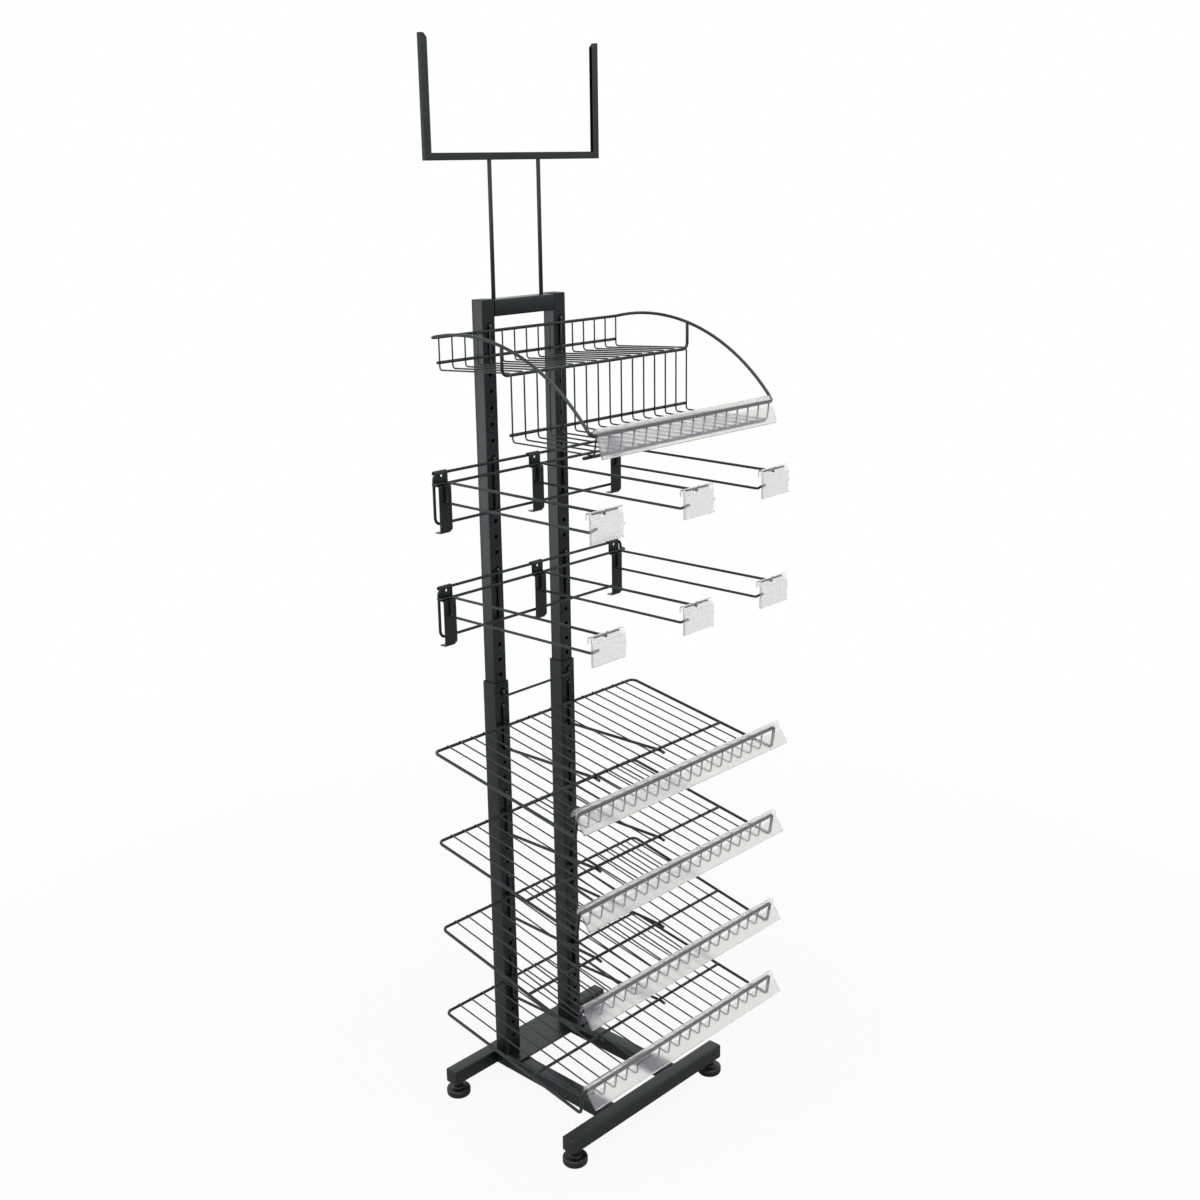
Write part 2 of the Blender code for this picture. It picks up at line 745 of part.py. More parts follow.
def build_basket(index):
    half = BASKET_WIDTH / 2
    bracket_y = INNER_FACE - UPPER_TUBE / 2 - GAP - FRAME_WIRE / 2
    rail_y = bracket_y - WELD_FRAME
    seat = HOLE_DIAMETER / 2 - FRAME_WIRE / 2 - GAP
    centre_y = INNER_FACE - BASKET_FRONT_Y

    def down(depth):
        return seat - depth

    rear = Vector((rail_y, down(BASKET_REAR_DROP)))
    front = Vector((centre_y, down(BASKET_FRONT_DROP)))
    middle = (rear + front) / 2
    chord = front - rear
    rise = math.sqrt(BASKET_ARC_RADIUS ** 2 - (chord.length / 2) ** 2)
    across = Vector((-chord.y, chord.x)).normalized()
    centre = middle + across * rise if across.y < 0 else middle - across * rise
    start = math.atan2(rear.y - centre.y, rear.x - centre.x)
    end = math.atan2(front.y - centre.y, front.x - centre.x)
    side_arc = []
    for step in range(BASKET_ARC_STEPS + 1):
        angle = start + (end - start) * step / BASKET_ARC_STEPS
        reach = Vector((math.cos(angle), math.sin(angle))) * BASKET_ARC_RADIUS
        side_arc.append(centre + reach)
    left = in_plane(-half, side_arc)
    right = in_plane(half, reversed(side_arc))
    last = BASKET_ARC_STEPS
    plain = set(range(1, last)) | set(range(last + 2, 2 * last + 1))
    loop = bent_line(left + right, BEND, closed=True, plain=plain)
    rim = wires([loop], FRAME_WIRE, closed=True)

    tier_y = INNER_FACE - BASKET_TIER_Y
    tier_z = down(BASKET_TIER_RAIL)
    arc_height = centre.y + math.sqrt(BASKET_ARC_RADIUS ** 2 - (tier_y - centre.x) ** 2)
    tier = bent_line(
        [
            (-half, tier_y, arc_height),
            (-half, tier_y, tier_z),
            (half, tier_y, tier_z),
            (half, tier_y, arc_height),
        ],
        BEND,
    )
    tier_rail = wires([tier], FRAME_WIRE)

    thin_back = rail_y - WELD_THIN
    riser_y = tier_y - WELD_THIN
    floor_z = down(BASKET_FLOOR_DROP)
    lip_y = INNER_FACE - BASKET_LIP_Y
    outer = (BASKET_WIRES - 1) / 2 * WIRE_PITCH
    reach = outer + BASKET_RAIL_OVERHANG
    straight = []
    for shift, width, y, z in (
        (BASKET_WIRE_SHIFT, reach, rail_y, down(BASKET_BACK_DROP)),
        (BASKET_WIRE_SHIFT, reach, tier_y, down(BASKET_RISER_RAIL)),
        (0.0, half, lip_y + 1.5 * FRAME_WIRE, floor_z - WELD_THIN),
    ):
        straight.append([Vector((shift - width, y, z)), Vector((shift + width, y, z))])
    rails = wires(straight, FRAME_WIRE)

    thin = []
    for wire in range(BASKET_WIRES):
        x = wire * WIRE_PITCH - outer + BASKET_WIRE_SHIFT
        path = in_plane(
            x,
            [
                (thin_back, down(BASKET_REAR_DROP) + THIN_WIRE / 2),
                (thin_back, down(BASKET_TIER_DROP)),
                (riser_y, tier_z + WELD_THIN),
                (riser_y, floor_z),
                (lip_y, floor_z),
                (centre_y + WELD_THIN, down(BASKET_FRONT_DROP) + GAP),
            ],
        )
        thin.append(bent_line(path, BEND / 2, steps=1))
    thin_wires = wires(thin, THIN_WIRE, resolution=0)

    hooks = []
    for side in (-1, 1):
        x = side * HALF_SPACING
        path = hanger(x, FRAME_WIRE, UPPER_TUBE, BASKET_BACK_DROP - seat + FRAME_WIRE / 2)
        hooks.append(bent_line(path, FRAME_WIRE, tight=(1, 2)))
    hook_wires = wires(hooks, FRAME_WIRE)
    basket = weld(rim, tier_rail, rails, hook_wires, thin_wires)
    place = pivot(index, FRAME_WIRE)
    finish(basket, "basket", black_metal, place)
    origin = Vector((0, centre_y, down(BASKET_FRONT_DROP)))
    lip_tilt = math.atan2(lip_y - centre_y, down(BASKET_FRONT_DROP) - floor_z)
    width = BASKET_WIDTH - 2 * BASKET_STRIP_INSET
    label_strip("basket_label_strip", width, BASKET_STRIP_HEIGHT, BASKET_STRIP_LEAN, origin, lip_tilt, place)


def build_hook_bar(level, index, rise):
    half = BAR_WIDTH / 2
    seat = HOLE_DIAMETER / 2 - BAR_WIRE / 2 - GAP
    bracket_y = INNER_FACE - UPPER_TUBE / 2 - GAP - BAR_WIRE / 2
    bar_y = bracket_y - WELD_BAR
    top = seat - BAR_DROP
    corners = [
        (-half, bar_y, top),
        (-half, bar_y, top - BAR_HEIGHT),
        (half, bar_y, top - BAR_HEIGHT),
        (half, bar_y, top),
    ]
    loop = wires([bent_line(corners, BEND, closed=True)], BAR_WIRE, closed=True)
    second_z = top - BAR_SECOND_DROP
    end_x = half + BAR_WIRE / 2
    second_y = bar_y - BAR_SECOND_FORWARD
    second_corners = [
        (-end_x, bar_y, second_z),
        (-end_x, second_y, second_z),
        (end_x, second_y, second_z),
        (end_x, bar_y, second_z),
    ]
    second = wires([bent_line(second_corners, BAR_WIRE * 0.55)], BAR_WIRE)
    mounts = []
    for side in (-1, 1):
        drop = BAR_DROP - seat + BAR_HEIGHT + BAR_WIRE / 2
        path = hanger(side * HALF_SPACING, BAR_WIRE, UPPER_TUBE, drop)
        mounts.append(bent_line(path, BAR_WIRE, tight=(1, 2)))
    mount_wires = wires(mounts, BAR_WIRE)
    bar = weld(loop, second, mount_wires)
    place = pivot(index, BAR_WIRE)
    finish(bar, "hook_bar_" + level, black_metal, place)
    places = (HOOK_LEFT_INSET - half, HOOK_MIDDLE_SHIFT, half - HOOK_RIGHT_INSET)
    for x, side in zip(places, ("left", "middle", "right")):
        origin = Vector(place) + Vector((x, bar_y, top))
        build_hook(level + "_" + side, origin, rise)


def build_hook(name, origin, rise):
    sheet = HOOK_SHEET / 2
    ring = BAR_WIRE / 2 + GAP + sheet
    step_z = -(BAR_SECOND_DROP + BAR_WIRE / 2 + GAP + sheet)
    face = -ring - HOOK_STEP
    path = [(ring, -BAR_WIRE / 2)]
    path += arc((0, 0), ring, 0, 180, 4)
    path += [(-ring, step_z), (face, step_z), (face, -HOOK_HEIGHT), (face + HOOK_LIP, -HOOK_HEIGHT)]
    plate = bent_sheet(path, HOOK_SHEET, HOOK_WIDTH)
    hole = cylinders([(0, -ring, -HOOK_HOLE_DROP)], HOOK_HOLE, 4 * HOOK_SHEET, axis="Y", sides=8)
    cut(plate, "hook_hole_" + name, hole)
    finish(plate, "hook_plate_" + name, black_metal, origin)

    arm_y = face - sheet - GAP - ARM_WIRE / 2
    tip = Vector((0, -ARM_LOWER_REACH, -ARM_BOTTOM + rise * ARM_LOWER_REACH / ARM_REACH))
    corners = [
        (0, -ARM_REACH, -ARM_TOP + rise),
        (0, arm_y, -ARM_TOP),
        (0, arm_y, -ARM_BOTTOM),
        tip,
        tip + Vector((0, -ARM_TIP, ARM_TIP_RISE)),
    ]
    arm = wires([bent_line(corners, ARM_WIRE, plain=(3,))], ARM_WIRE)
    cross_y = -CROSS_REACH
    cross_z = -ARM_TOP + rise + CROSS_ABOVE_ARM
    cross = [Vector((side * CROSS_LENGTH / 2, cross_y, cross_z)) for side in (-1, 1)]
    weld(arm, wires([cross], CROSS_WIRE))
    finish(arm, "hook_arm_" + name, black_metal, origin)
    build_ticket_holder(name, Vector(origin) + Vector((0, cross_y, cross_z)))


def build_ticket_holder(name, origin):
    middle = TICKET_ARC
    centre = (-TICKET_SHEET * 0.8, -TICKET_SHEET / 2)
    back = centre[0] - middle
    pitch = TICKET_SHEET + TICKET_SLOT
    path = [(centre[0] + middle, -TICKET_LEG)]
    path += arc(centre, middle, 0, 180, 4)
    path += [(back, -TICKET_HEIGHT), (back - pitch, -TICKET_HEIGHT), (back - pitch, -TICKET_OPENING)]
    holder = bent_sheet(path, TICKET_SHEET, TICKET_WIDTH)
    notch_front = -(ARM_WIRE / 2 + 2 * GAP)
    notch_rear = centre[0] + middle + 2 * TICKET_SHEET
    notch_size = (TICKET_NOTCH, notch_rear - notch_front, 2 * TICKET_LEG + 4 * TICKET_SHEET)
    notch = box(notch_size, (0, (notch_rear + notch_front) / 2, 0))
    cut(holder, "ticket_notch_" + name, notch)
    finish(holder, "ticket_holder_" + name, clear_plastic, origin)


clear_scene()
parts = new_collection("wire_display_rack")
cutters = new_collection("cutters")
black_metal = make_material("black_metal", (0.012, 0.013, 0.015), 0.42, 0.0)
black_plastic = make_material("black_plastic", (0.010, 0.010, 0.011), 0.55, 0.0)
zinc = make_material("zinc_steel", (0.33, 0.34, 0.35), 0.35, 1.0)
clear_plastic = make_material("clear_plastic", (0.82, 0.84, 0.88), 0.12, 0.0, 0.85)

build_base()
build_mast()
build_sign()
build_basket(LAST_UPPER_HOLE)
for level, height, rise in zip(("upper", "lower"), BAR_HEIGHTS, ARM_RISES):
    build_hook_bar(level, hole_near(height), rise)
for number in range(len(SHELF_TILTS)):
    build_shelf(number, TOP_SHELF_HOLE - round(number * SHELF_STEP / HOLE_PITCH))
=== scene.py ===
# %% [markdown]
# # A wire display rack
# The rack is a two-piece mast of square steel tube on a tube base, with four tilted wire
# shelves, two bars of hooks, a stepped wire basket and a sign holder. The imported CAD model
# gives every size and place. This notebook makes the finished surfaces that stand for its
# plain solids.

import bmesh
import bpy
import numpy as np
from mathutils import Matrix, Vector


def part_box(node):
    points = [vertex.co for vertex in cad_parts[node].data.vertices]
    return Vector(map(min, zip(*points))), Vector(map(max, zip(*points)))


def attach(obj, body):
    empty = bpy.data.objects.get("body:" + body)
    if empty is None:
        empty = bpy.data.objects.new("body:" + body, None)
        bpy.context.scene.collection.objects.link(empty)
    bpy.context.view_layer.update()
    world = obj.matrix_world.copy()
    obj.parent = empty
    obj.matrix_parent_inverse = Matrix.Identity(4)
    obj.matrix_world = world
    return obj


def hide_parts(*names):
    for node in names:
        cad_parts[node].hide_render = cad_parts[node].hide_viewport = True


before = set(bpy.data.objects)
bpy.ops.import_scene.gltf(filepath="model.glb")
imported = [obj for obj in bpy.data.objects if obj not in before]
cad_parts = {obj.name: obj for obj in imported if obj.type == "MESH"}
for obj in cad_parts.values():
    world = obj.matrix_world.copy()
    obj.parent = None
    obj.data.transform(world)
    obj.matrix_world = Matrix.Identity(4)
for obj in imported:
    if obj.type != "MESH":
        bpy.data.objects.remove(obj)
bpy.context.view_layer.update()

scene = bpy.context.scene

# %% [markdown]
# ## Sizes
# Sizes are in metres, written as millimetres times MM. What the CAD nodes can tell, such as
# where the mast stands, is read from their boxes, so a piece goes where its solid is.

# %% Sizes that many pieces share
MM = 0.001
GAP = 0.3 * MM
FRAME_WIRE, THIN_WIRE, BAR_WIRE, ARM_WIRE = 4.8 * MM, 2.4 * MM, 4.5 * MM, 4 * MM
LOWER_TUBE, UPPER_TUBE, UPPER_WALL = 30 * MM, 25 * MM, 1.2 * MM
# A tube's section: its width, its wall and the radius of its corners
LOWER_SECTION = (LOWER_TUBE, 1.5 * MM, 3 * MM)
UPPER_SECTION = (UPPER_TUBE, UPPER_WALL, 2.5 * MM)
BASE_SECTION = (25 * MM, 1.5 * MM, 3 * MM)
HOLE, PITCH, FIRST_HOLE = 7 * MM, 25 * MM, 86.5 * MM
HALF_SPACING = 75 * MM
INNER_FACE = UPPER_TUBE / 2 - UPPER_WALL
SHEET_EDGE = 0.25 * MM
SIDES = ((-1, "left"), (1, "right"))

mast_low, mast_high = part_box("lower_upright_left")
MAST_Y = (mast_low.y + mast_high.y) / 2
print("mast stands at y =", round(MAST_Y, 4), "m")


def hole_height(index):
    """Holes stand one pitch apart above the first one."""
    return FIRST_HOLE + index * PITCH


def middle(node):
    """The middle of a CAD node's box."""
    low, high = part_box(node)
    return (low + high) / 2


# %% [markdown]
# ## Finishes
# Almost everything is steel with a satin black powder coat. Powder is sprayed on dry and
# melted in an oven, so it levels to a skin with a faint orange peel. The plastic pieces are
# moulded or extruded. Each finish is a node tree on Object coordinates with scales from real
# sizes: a pattern d metres across needs a noise scale of about 1/d. It is kept together with
# the material slot of the CAD model that it belongs to.

# %% Colours and nodes
def linear(hex_colour):
    """sRGB hex to linear: c / 12.92 for dark channels, else ((c + 0.055) / 1.055) ** 2.4."""
    channels = [int(hex_colour[i : i + 2], 16) / 255 for i in (1, 3, 5)]
    return [c / 12.92 if c < 0.04045 else ((c + 0.055) / 1.055) ** 2.4 for c in channels] + [1]


def add(tree, kind, settings=None, links=None):
    """Adds a shader node. Settings are its properties or its sockets, links feed its sockets."""
    node = tree.nodes.new("ShaderNode" + kind)
    for name, value in (settings or {}).items():
        if isinstance(name, str) and hasattr(node, name):
            setattr(node, name, value)
        else:
            node.inputs[name].default_value = value
    for name, socket in (links or {}).items():
        tree.links.new(socket, node.inputs[name])
    return node


def new_material(name):
    """An empty node material with its tree, its output and Object coordinates."""
    material = bpy.data.materials.new(name)
    material.use_nodes = True
    tree = material.node_tree
    tree.nodes.clear()
    output = add(tree, "OutputMaterial")
    place = add(tree, "TexCoord").outputs["Object"]
    print("finish:", name)
    return material, tree, output, place


def spread(low, high):
    """Map Range settings that carry the middle of a noise, 0.3 to 0.7, to low and high."""
    return {"From Min": 0.3, "From Max": 0.7, "To Min": low, "To Max": high}


def coat(name, dark, light, roughness, mottle, peel, depth, **sockets):
    """A coating: its colour and roughness drift over mottle metres, its skin ripples over peel
    metres and is depth metres deep."""
    material, tree, output, place = new_material(name)
    drift = add(tree, "TexNoise", {"Scale": 1 / mottle, "Detail": 3.0}, {"Vector": place})
    colour = add(tree, "ValToRGB", links={"Fac": drift.outputs["Fac"]})
    for stop, position, tone in zip(colour.color_ramp.elements, (0.35, 0.65), (dark, light)):
        stop.position, stop.color = position, linear(tone)
    sheen = add(tree, "MapRange", spread(*roughness), {"Value": drift.outputs["Fac"]})
    skin = add(tree, "TexNoise", {"Scale": 1 / peel, "Detail": 2.0}, {"Vector": place})
    relief = {"Strength": 0.4, "Distance": depth}
    ripple = add(tree, "Bump", relief, {"Height": skin.outputs["Fac"]})
    shader = add(tree, "BsdfPrincipled", sockets, {
        "Base Color": colour.outputs["Color"],
        "Roughness": sheen.outputs["Result"],
        "Normal": ripple.outputs["Normal"],
    })
    tree.links.new(shader.outputs["BSDF"], output.inputs["Surface"])
    return material


# %% Satin black powder coat on steel
# Polyester powder, oven cured: a charcoal with a trace of blue, never a pure black. Its
# orange peel is about 1.5 mm wide, and its low roughness gives each wire a grey stripe.
STEEL = "black_metal", coat(
    "satin_black_powder_coat", "#0f1213", "#14181a", (0.24, 0.32),
    mottle=40 * MM, peel=1.5 * MM, depth=0.05 * MM,
    **{"Specular Tint": linear("#e2eef1"), "IOR": 1.52},
)

# %% Moulded black polyethylene
# The feet and the tube plugs are injection moulded. The spark-eroded mould leaves a fine
# grain of about 0.6 mm, so the plastic is duller than the coating, and it is darker.
MOULDED = "black_plastic", coat(
    "moulded_black_polyethylene", "#08090a", "#0d0e0f", (0.4, 0.5),
    mottle=25 * MM, peel=0.6 * MM, depth=0.04 * MM, IOR=1.5,
)

# %% Zinc plated steel
# The two bolts under the base are electroplated: a pale, slightly blue metal whose thin
# plating varies in gloss over a few millimetres.
ZINC = "zinc", coat(
    "zinc_plated_steel", "#a9adb1", "#bcc0c3", (0.28, 0.42),
    mottle=4 * MM, peel=0.5 * MM, depth=0.02 * MM, Metallic=1.0,
)

# %% Clear extruded vinyl
# Label strips and ticket holders are extruded or folded from clear vinyl with a slightly
# rough skin: what touches it shows through sharply, what stands further off blurs away, and
# a little haze makes two leaves look milky. Fine draw lines run along the extrusion. The
# tint of the gloss is violet, as the photographed plastic looks against a dark wire.
DRAW_LINE, VINYL_ROUGHNESS = 1.2 * MM, (0.07, 0.12)


def clear_vinyl(name, tint, clear, stretch):
    """Clear sheet: clear is the share of light that goes through, the rest is haze. The draw
    lines are noise stretched along X."""
    material, tree, output, place = new_material(name)
    lines = add(tree, "Mapping", {"Scale": (stretch, 1.0, 1.0)}, {"Vector": place})
    drawn = add(tree, "TexNoise", {"Scale": 1 / DRAW_LINE, "Detail": 2.0},
                {"Vector": lines.outputs["Vector"]})
    skin = add(tree, "MapRange", spread(*VINYL_ROUGHNESS), {"Value": drawn.outputs["Fac"]})
    shader = add(
        tree, "BsdfPrincipled",
        {"Base Color": linear(tint), "Transmission Weight": clear, "IOR": 1.5,
         "Specular Tint": linear("#b9bff2")},
        {"Roughness": skin.outputs["Result"]},
    )
    tree.links.new(shader.outputs["BSDF"], output.inputs["Surface"])
    return material


STRIP = "clear_plastic", clear_vinyl("clear_extruded_vinyl", "#f8f7f5", 0.93, stretch=0.02)
TICKET = "clear_plastic", clear_vinyl("clear_folded_vinyl", "#f8f7f7", 0.94, stretch=0.05)

# %% [markdown]
# ## Putting a surface into the scene
# Each piece is a grid of points worked out with numpy. One function puts it into a mesh,
# joins doubled points (which also closes poles and seams), turns the faces outwards, gives
# a sheet its thickness, rounds its edges and hands it to the CAD body that carries it.

# %% Grids, joining and repeating
def unit(vectors):
    """Each vector over its own length."""
    return vectors / np.linalg.norm(vectors, axis=-1, keepdims=True)


def grid_faces(rows, columns, ring_rows=False, ring_columns=False):
    """Quads between neighbours of a rows x columns grid; a ring joins its last to its first."""
    row = np.arange(rows - 1 + ring_rows)[:, None]
    column = np.arange(columns - 1 + ring_columns)[None, :]
    next_row, next_column = (row + 1) % rows, (column + 1) % columns
    corners = [
        row * columns + column,
        row * columns + next_column,
        next_row * columns + next_column,
        next_row * columns + column,
    ]
    return np.stack(np.broadcast_arrays(*corners), -1).reshape(-1, 4)


def join(*shapes):
    """Several (points, faces) shapes as one; face numbers go up by the points before them."""
    starts = np.cumsum([0] + [len(points) for points, _ in shapes[:-1]])
    points = np.concatenate([points for points, _ in shapes])
    return points, np.concatenate([faces + start for (_, faces), start in zip(shapes, starts)])


def repeat(shape, moves):
    """Copies of a shape, each moved by one row of moves."""
    points, faces = shape
    moves = np.asarray(moves, float)
    many = (points[None] + moves[:, None]).reshape(-1, 3)
    starts = np.arange(len(moves))[:, None, None] * len(points)
    return many, (faces[None] + starts).reshape(-1, faces.shape[1])


print("a ring of 4 x 4 points has", len(grid_faces(4, 4, True, True)), "faces")

# %% One piece
DOUBLED, SHARP_ANGLE, BEVEL_ANGLE = 0.002 * MM, np.radians(38), np.radians(40)


def show(name, data):
    """A new object in the scene, at the origin."""
    item = bpy.data.objects.new(name, data)
    scene.collection.objects.link(item)
    return item


def piece(name, shape, finish, body, nodes, place=(0, 0, 0), thickness=0.0, edge=0.0):
    """Puts (points, faces) into a mesh at a place, closes it, and gives it to a CAD body in
    place of CAD nodes. Weighted normals keep large flat sides flat between rounded edges."""
    slot, material = finish
    points, faces = shape
    mesh = bpy.data.meshes.new(name)
    mesh.from_pydata((points + np.asarray(place, float)).tolist(), [], faces.tolist())
    shell = bmesh.new()
    shell.from_mesh(mesh)
    bmesh.ops.remove_doubles(shell, verts=shell.verts, dist=DOUBLED)
    bmesh.ops.recalc_face_normals(shell, faces=shell.faces)
    shell.to_mesh(mesh)
    shell.free()
    mesh.shade_smooth()
    mesh.set_sharp_from_angle(angle=SHARP_ANGLE)
    item = show(name, mesh)
    if thickness:
        sheet = item.modifiers.new("Sheet", "SOLIDIFY")
        sheet.thickness = thickness
        sheet.offset = 0.0
        sheet.use_even_offset = True
    if edge:
        round_edges = item.modifiers.new("Edges", "BEVEL")
        round_edges.width = edge
        round_edges.segments = 2
        round_edges.limit_method = "ANGLE"
        round_edges.angle_limit = BEVEL_ANGLE
        item.modifiers.new("Flat sides stay flat", "WEIGHTED_NORMAL").weight = 100
    if item.modifiers:
        view = item.evaluated_get(bpy.context.evaluated_depsgraph_get())
        item.data = bpy.data.meshes.new_from_object(view)
        item.modifiers.clear()
        bpy.data.meshes.remove(mesh)
        item.data.name = name
    item.data.materials.append(material)
    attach(item, body)
    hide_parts(*nodes)
    print(name, len(item.data.polygons), "faces")


# %% [markdown]
# ## Paths and wires
# A bent wire is a circle carried along a path: a row of corners, rounded by arcs as a
# bending machine does it. The circle stands square to the path, and its first direction is
# what is left of one fixed slanting direction when the part along the path is taken away,
# which needs no step from ring to ring.

# %% Bent paths
def bend(corners, radii, steps=7, closed=False):
    """Rounds the corners of a path. With h half the angle between a corner's sides, the arc
    touches them r / tan h away from the corner, and its centre lies r / sin h away on the
    middle line. Its points are weighted sums of its two ends as seen from the centre:
    sin((1-s)T)/sin T and sin(sT)/sin T, where T is the turn. A radius of 0 keeps the corner."""
    corners = np.asarray(corners, float)
    radii = np.broadcast_to(np.asarray(radii, float), len(corners))
    before = unit(np.roll(corners, 1, 0) - corners)
    after = unit(np.roll(corners, -1, 0) - corners)
    half = np.arccos(np.clip((before * after).sum(1), -1, 1)) / 2
    turn = np.pi - 2 * half
    straight = turn < 1e-4
    safe = np.where(straight, 1.0, turn)[:, None, None]
    reach = (radii / np.tan(half))[:, None]
    centre = corners + unit(before + after + 1e-12) * (radii / np.sin(half))[:, None]
    share = np.linspace(0, 1, steps + 1)[None, :, None]
    start = (corners + before * reach - centre)[:, None]
    end = (corners + after * reach - centre)[:, None]
    arcs = start * np.sin((1 - share) * safe) + end * np.sin(share * safe)
    arcs = centre[:, None] + arcs / np.sin(safe)
    keep = (radii == 0) | straight
    if not closed:
        keep = keep | (np.arange(len(corners)) % (len(corners) - 1) == 0)
    runs = [corners[i : i + 1] if keep[i] else arcs[i] for i in range(len(corners))]
    return np.concatenate(runs)


def in_plane(x, path):
    """A path of (y, z) points in the plane at x."""
    path = np.asarray(path, float)
    return np.column_stack([np.full(len(path), x), path])


print("a right angle bends in", len(bend([(0, 0), (1, 0), (1, 1)], 0.1)) - 2, "points")

# %% Round wires
SLANT = unit(np.array([0.50, 0.68, 0.54]))
# Rings of a cut end: how far from the tip and how wide, both in wire radii
END_INSET, END_SHARE = np.array([0, 0, 0.13, 0.4]), np.array([0, 0.6, 0.88, 1])


def wire(path, diameter, closed=False, sides=16):
    """A round wire. Ring i lies at path point P, square to the tangent T: its points are
    P + r (U cos t + V sin t), where U is SLANT less its part along T, made one long, and V is
    T x U. An open wire's ends close in three small rings and a pole, as a cut end with its
    burr taken off."""
    path = np.asarray(path, float)
    radius = np.full(len(path), diameter / 2)
    if closed:
        legs = unit(np.roll(path, -1, 0) - path)
        tangent = unit(legs + np.roll(legs, 1, 0))
    else:
        legs = unit(np.diff(path, axis=0))
        tangent = unit(np.concatenate([legs[:1], legs[:-1] + legs[1:], legs[-1:]]))
        inset, rings = END_INSET[:, None] * diameter / 2, len(END_INSET)
        first, last = tangent[:1].repeat(rings, 0), tangent[-1:].repeat(rings, 0)
        path = np.concatenate([path[0] + first * inset, path[1:-1], path[-1] - last * inset[::-1]])
        tangent = np.concatenate([first, tangent[1:-1], last])
        whole = np.ones(len(path) - 2 * rings)
        radius = np.concatenate([END_SHARE, whole, END_SHARE[::-1]]) * diameter / 2
    across = unit(SLANT - (tangent @ SLANT)[:, None] * tangent)
    over = np.cross(tangent, across)
    turn = np.linspace(0, 2 * np.pi, sides, endpoint=False)[None, :, None]
    ring = across[:, None] * np.cos(turn) + over[:, None] * np.sin(turn)
    points = path[:, None] + radius[:, None, None] * ring
    return points.reshape(-1, 3), grid_faces(len(path), sides, closed, True)


# %% [markdown]
# ## Square tube with real round holes
# The mast's tubes are punched every 25 mm in front. A hole in a flat face is a small map:
# a grid whose outer row is the rectangle round the hole and whose inner row is the circle.
# The rest of the tube is its rounded outline carried along its length, with rows at the
# same heights, so that both meet point by point.

# %% Rounded outlines
def outline(size, radius, steps=6):
    """A square or (wide, deep) oblong with round corners, from the right end of its front side
    round to the left end. Each corner is a quarter circle: centre + r (cos a, sin a)."""
    flat = np.broadcast_to(np.asarray(size, float), 2) / 2 - radius
    angle = np.radians(np.array([-90, 0, 90, 180])[:, None] + np.linspace(0, 90, steps + 1))
    centre = np.array([[1, -1], [1, 1], [-1, 1], [-1, -1]])[:, None] * flat
    return (centre + radius * np.stack([np.cos(angle), np.sin(angle)], -1)).reshape(-1, 2)


def plate_round_hole(half_x, half_z, hole, steps):
    """A rectangle and a circle, both walked once round from the lower right corner in 4 x steps
    points: the rectangle evenly along its sides, the circle evenly in angle."""
    side, one = np.linspace(-1, 1, steps, endpoint=False), np.ones(steps)
    x = np.concatenate([one, -side, -one, side])
    z = np.concatenate([side, one, -side, -one])
    rectangle = np.stack([x * half_x, z * half_z], -1)
    angle = np.radians(-45) + np.linspace(0, 2 * np.pi, 4 * steps, endpoint=False)
    circle = np.stack([np.cos(angle), np.sin(angle)], -1) * hole / 2
    return rectangle, circle


def laid(shape, x_to, y_to, z_to):
    """Turns a shape so that its own axes point along the three given directions."""
    return shape[0] @ np.array([x_to, y_to, z_to], float), shape[1]


# %% A punched tube
HOLE_CHAMFER = 0.25 * MM


def punched_tube(section, length, holes, hole, cell, steps=6):
    """A tube along Z from 0 to length, punched at the heights in holes in its front side
    (towards -Y). Cell is the length of the patch round a hole. Outer and inner skins are the
    same maps at two depths; a chamfer and a wall join them at each hole."""
    size, wall, radius = section
    flat = size / 2 - radius
    holes = np.asarray(holes, float)
    lows = holes[:, None] + np.linspace(-0.5, 0.5, steps + 1) * cell
    heights = np.unique(np.round(np.concatenate([[0, length], lows.ravel()]), 7))
    patches = np.sort(np.concatenate([holes - cell / 2, holes + cell / 2]))
    bands = np.concatenate([[0], patches, [length]]).reshape(-1, 2)
    bands = bands[np.diff(bands, axis=1)[:, 0] > 1e-6]
    shapes, loops = [], []
    for skin_size, skin_radius in ((size, radius), (size - 2 * wall, max(radius - wall, 0.2 * MM))):
        around = outline(skin_size, skin_radius)
        points = np.empty((len(heights), len(around), 3))
        points[..., :2] = around
        points[..., 2] = heights[:, None]
        shapes.append((points.reshape(-1, 3), grid_faces(len(heights), len(around))))
        across = np.linspace(-flat, flat, steps + 1)
        front = np.stack([across, np.full(steps + 1, -skin_size / 2)], -1)
        loops.append(np.concatenate([around, front[1:-1]]))
        for low, high in bands:
            band = np.empty((2, steps + 1, 3))
            band[..., :2] = front
            band[..., 2] = [[low], [high]]
            shapes.append((band.reshape(-1, 3), grid_faces(2, steps + 1)))
    rectangle, circle = plate_round_hole(flat, cell / 2, hole, steps)
    depths = np.array([0, 0, HOLE_CHAMFER, wall, wall]) - size / 2
    rows = [rectangle, circle * (1 + 2 * HOLE_CHAMFER / hole), circle, circle, rectangle]
    rim = np.stack([np.insert(row, 1, depth, axis=1) for row, depth in zip(rows, depths)])
    punched = (rim.reshape(-1, 3), grid_faces(len(rows), 4 * steps, False, True))
    shapes.append(repeat(punched, [(0, 0, height) for height in holes]))
    for end in (0, length):
        ring = np.stack([np.insert(loop, 2, end, axis=1) for loop in loops])
        shapes.append((ring.reshape(-1, 3), grid_faces(2, len(loops[0]), False, True)))
    return join(*shapes)


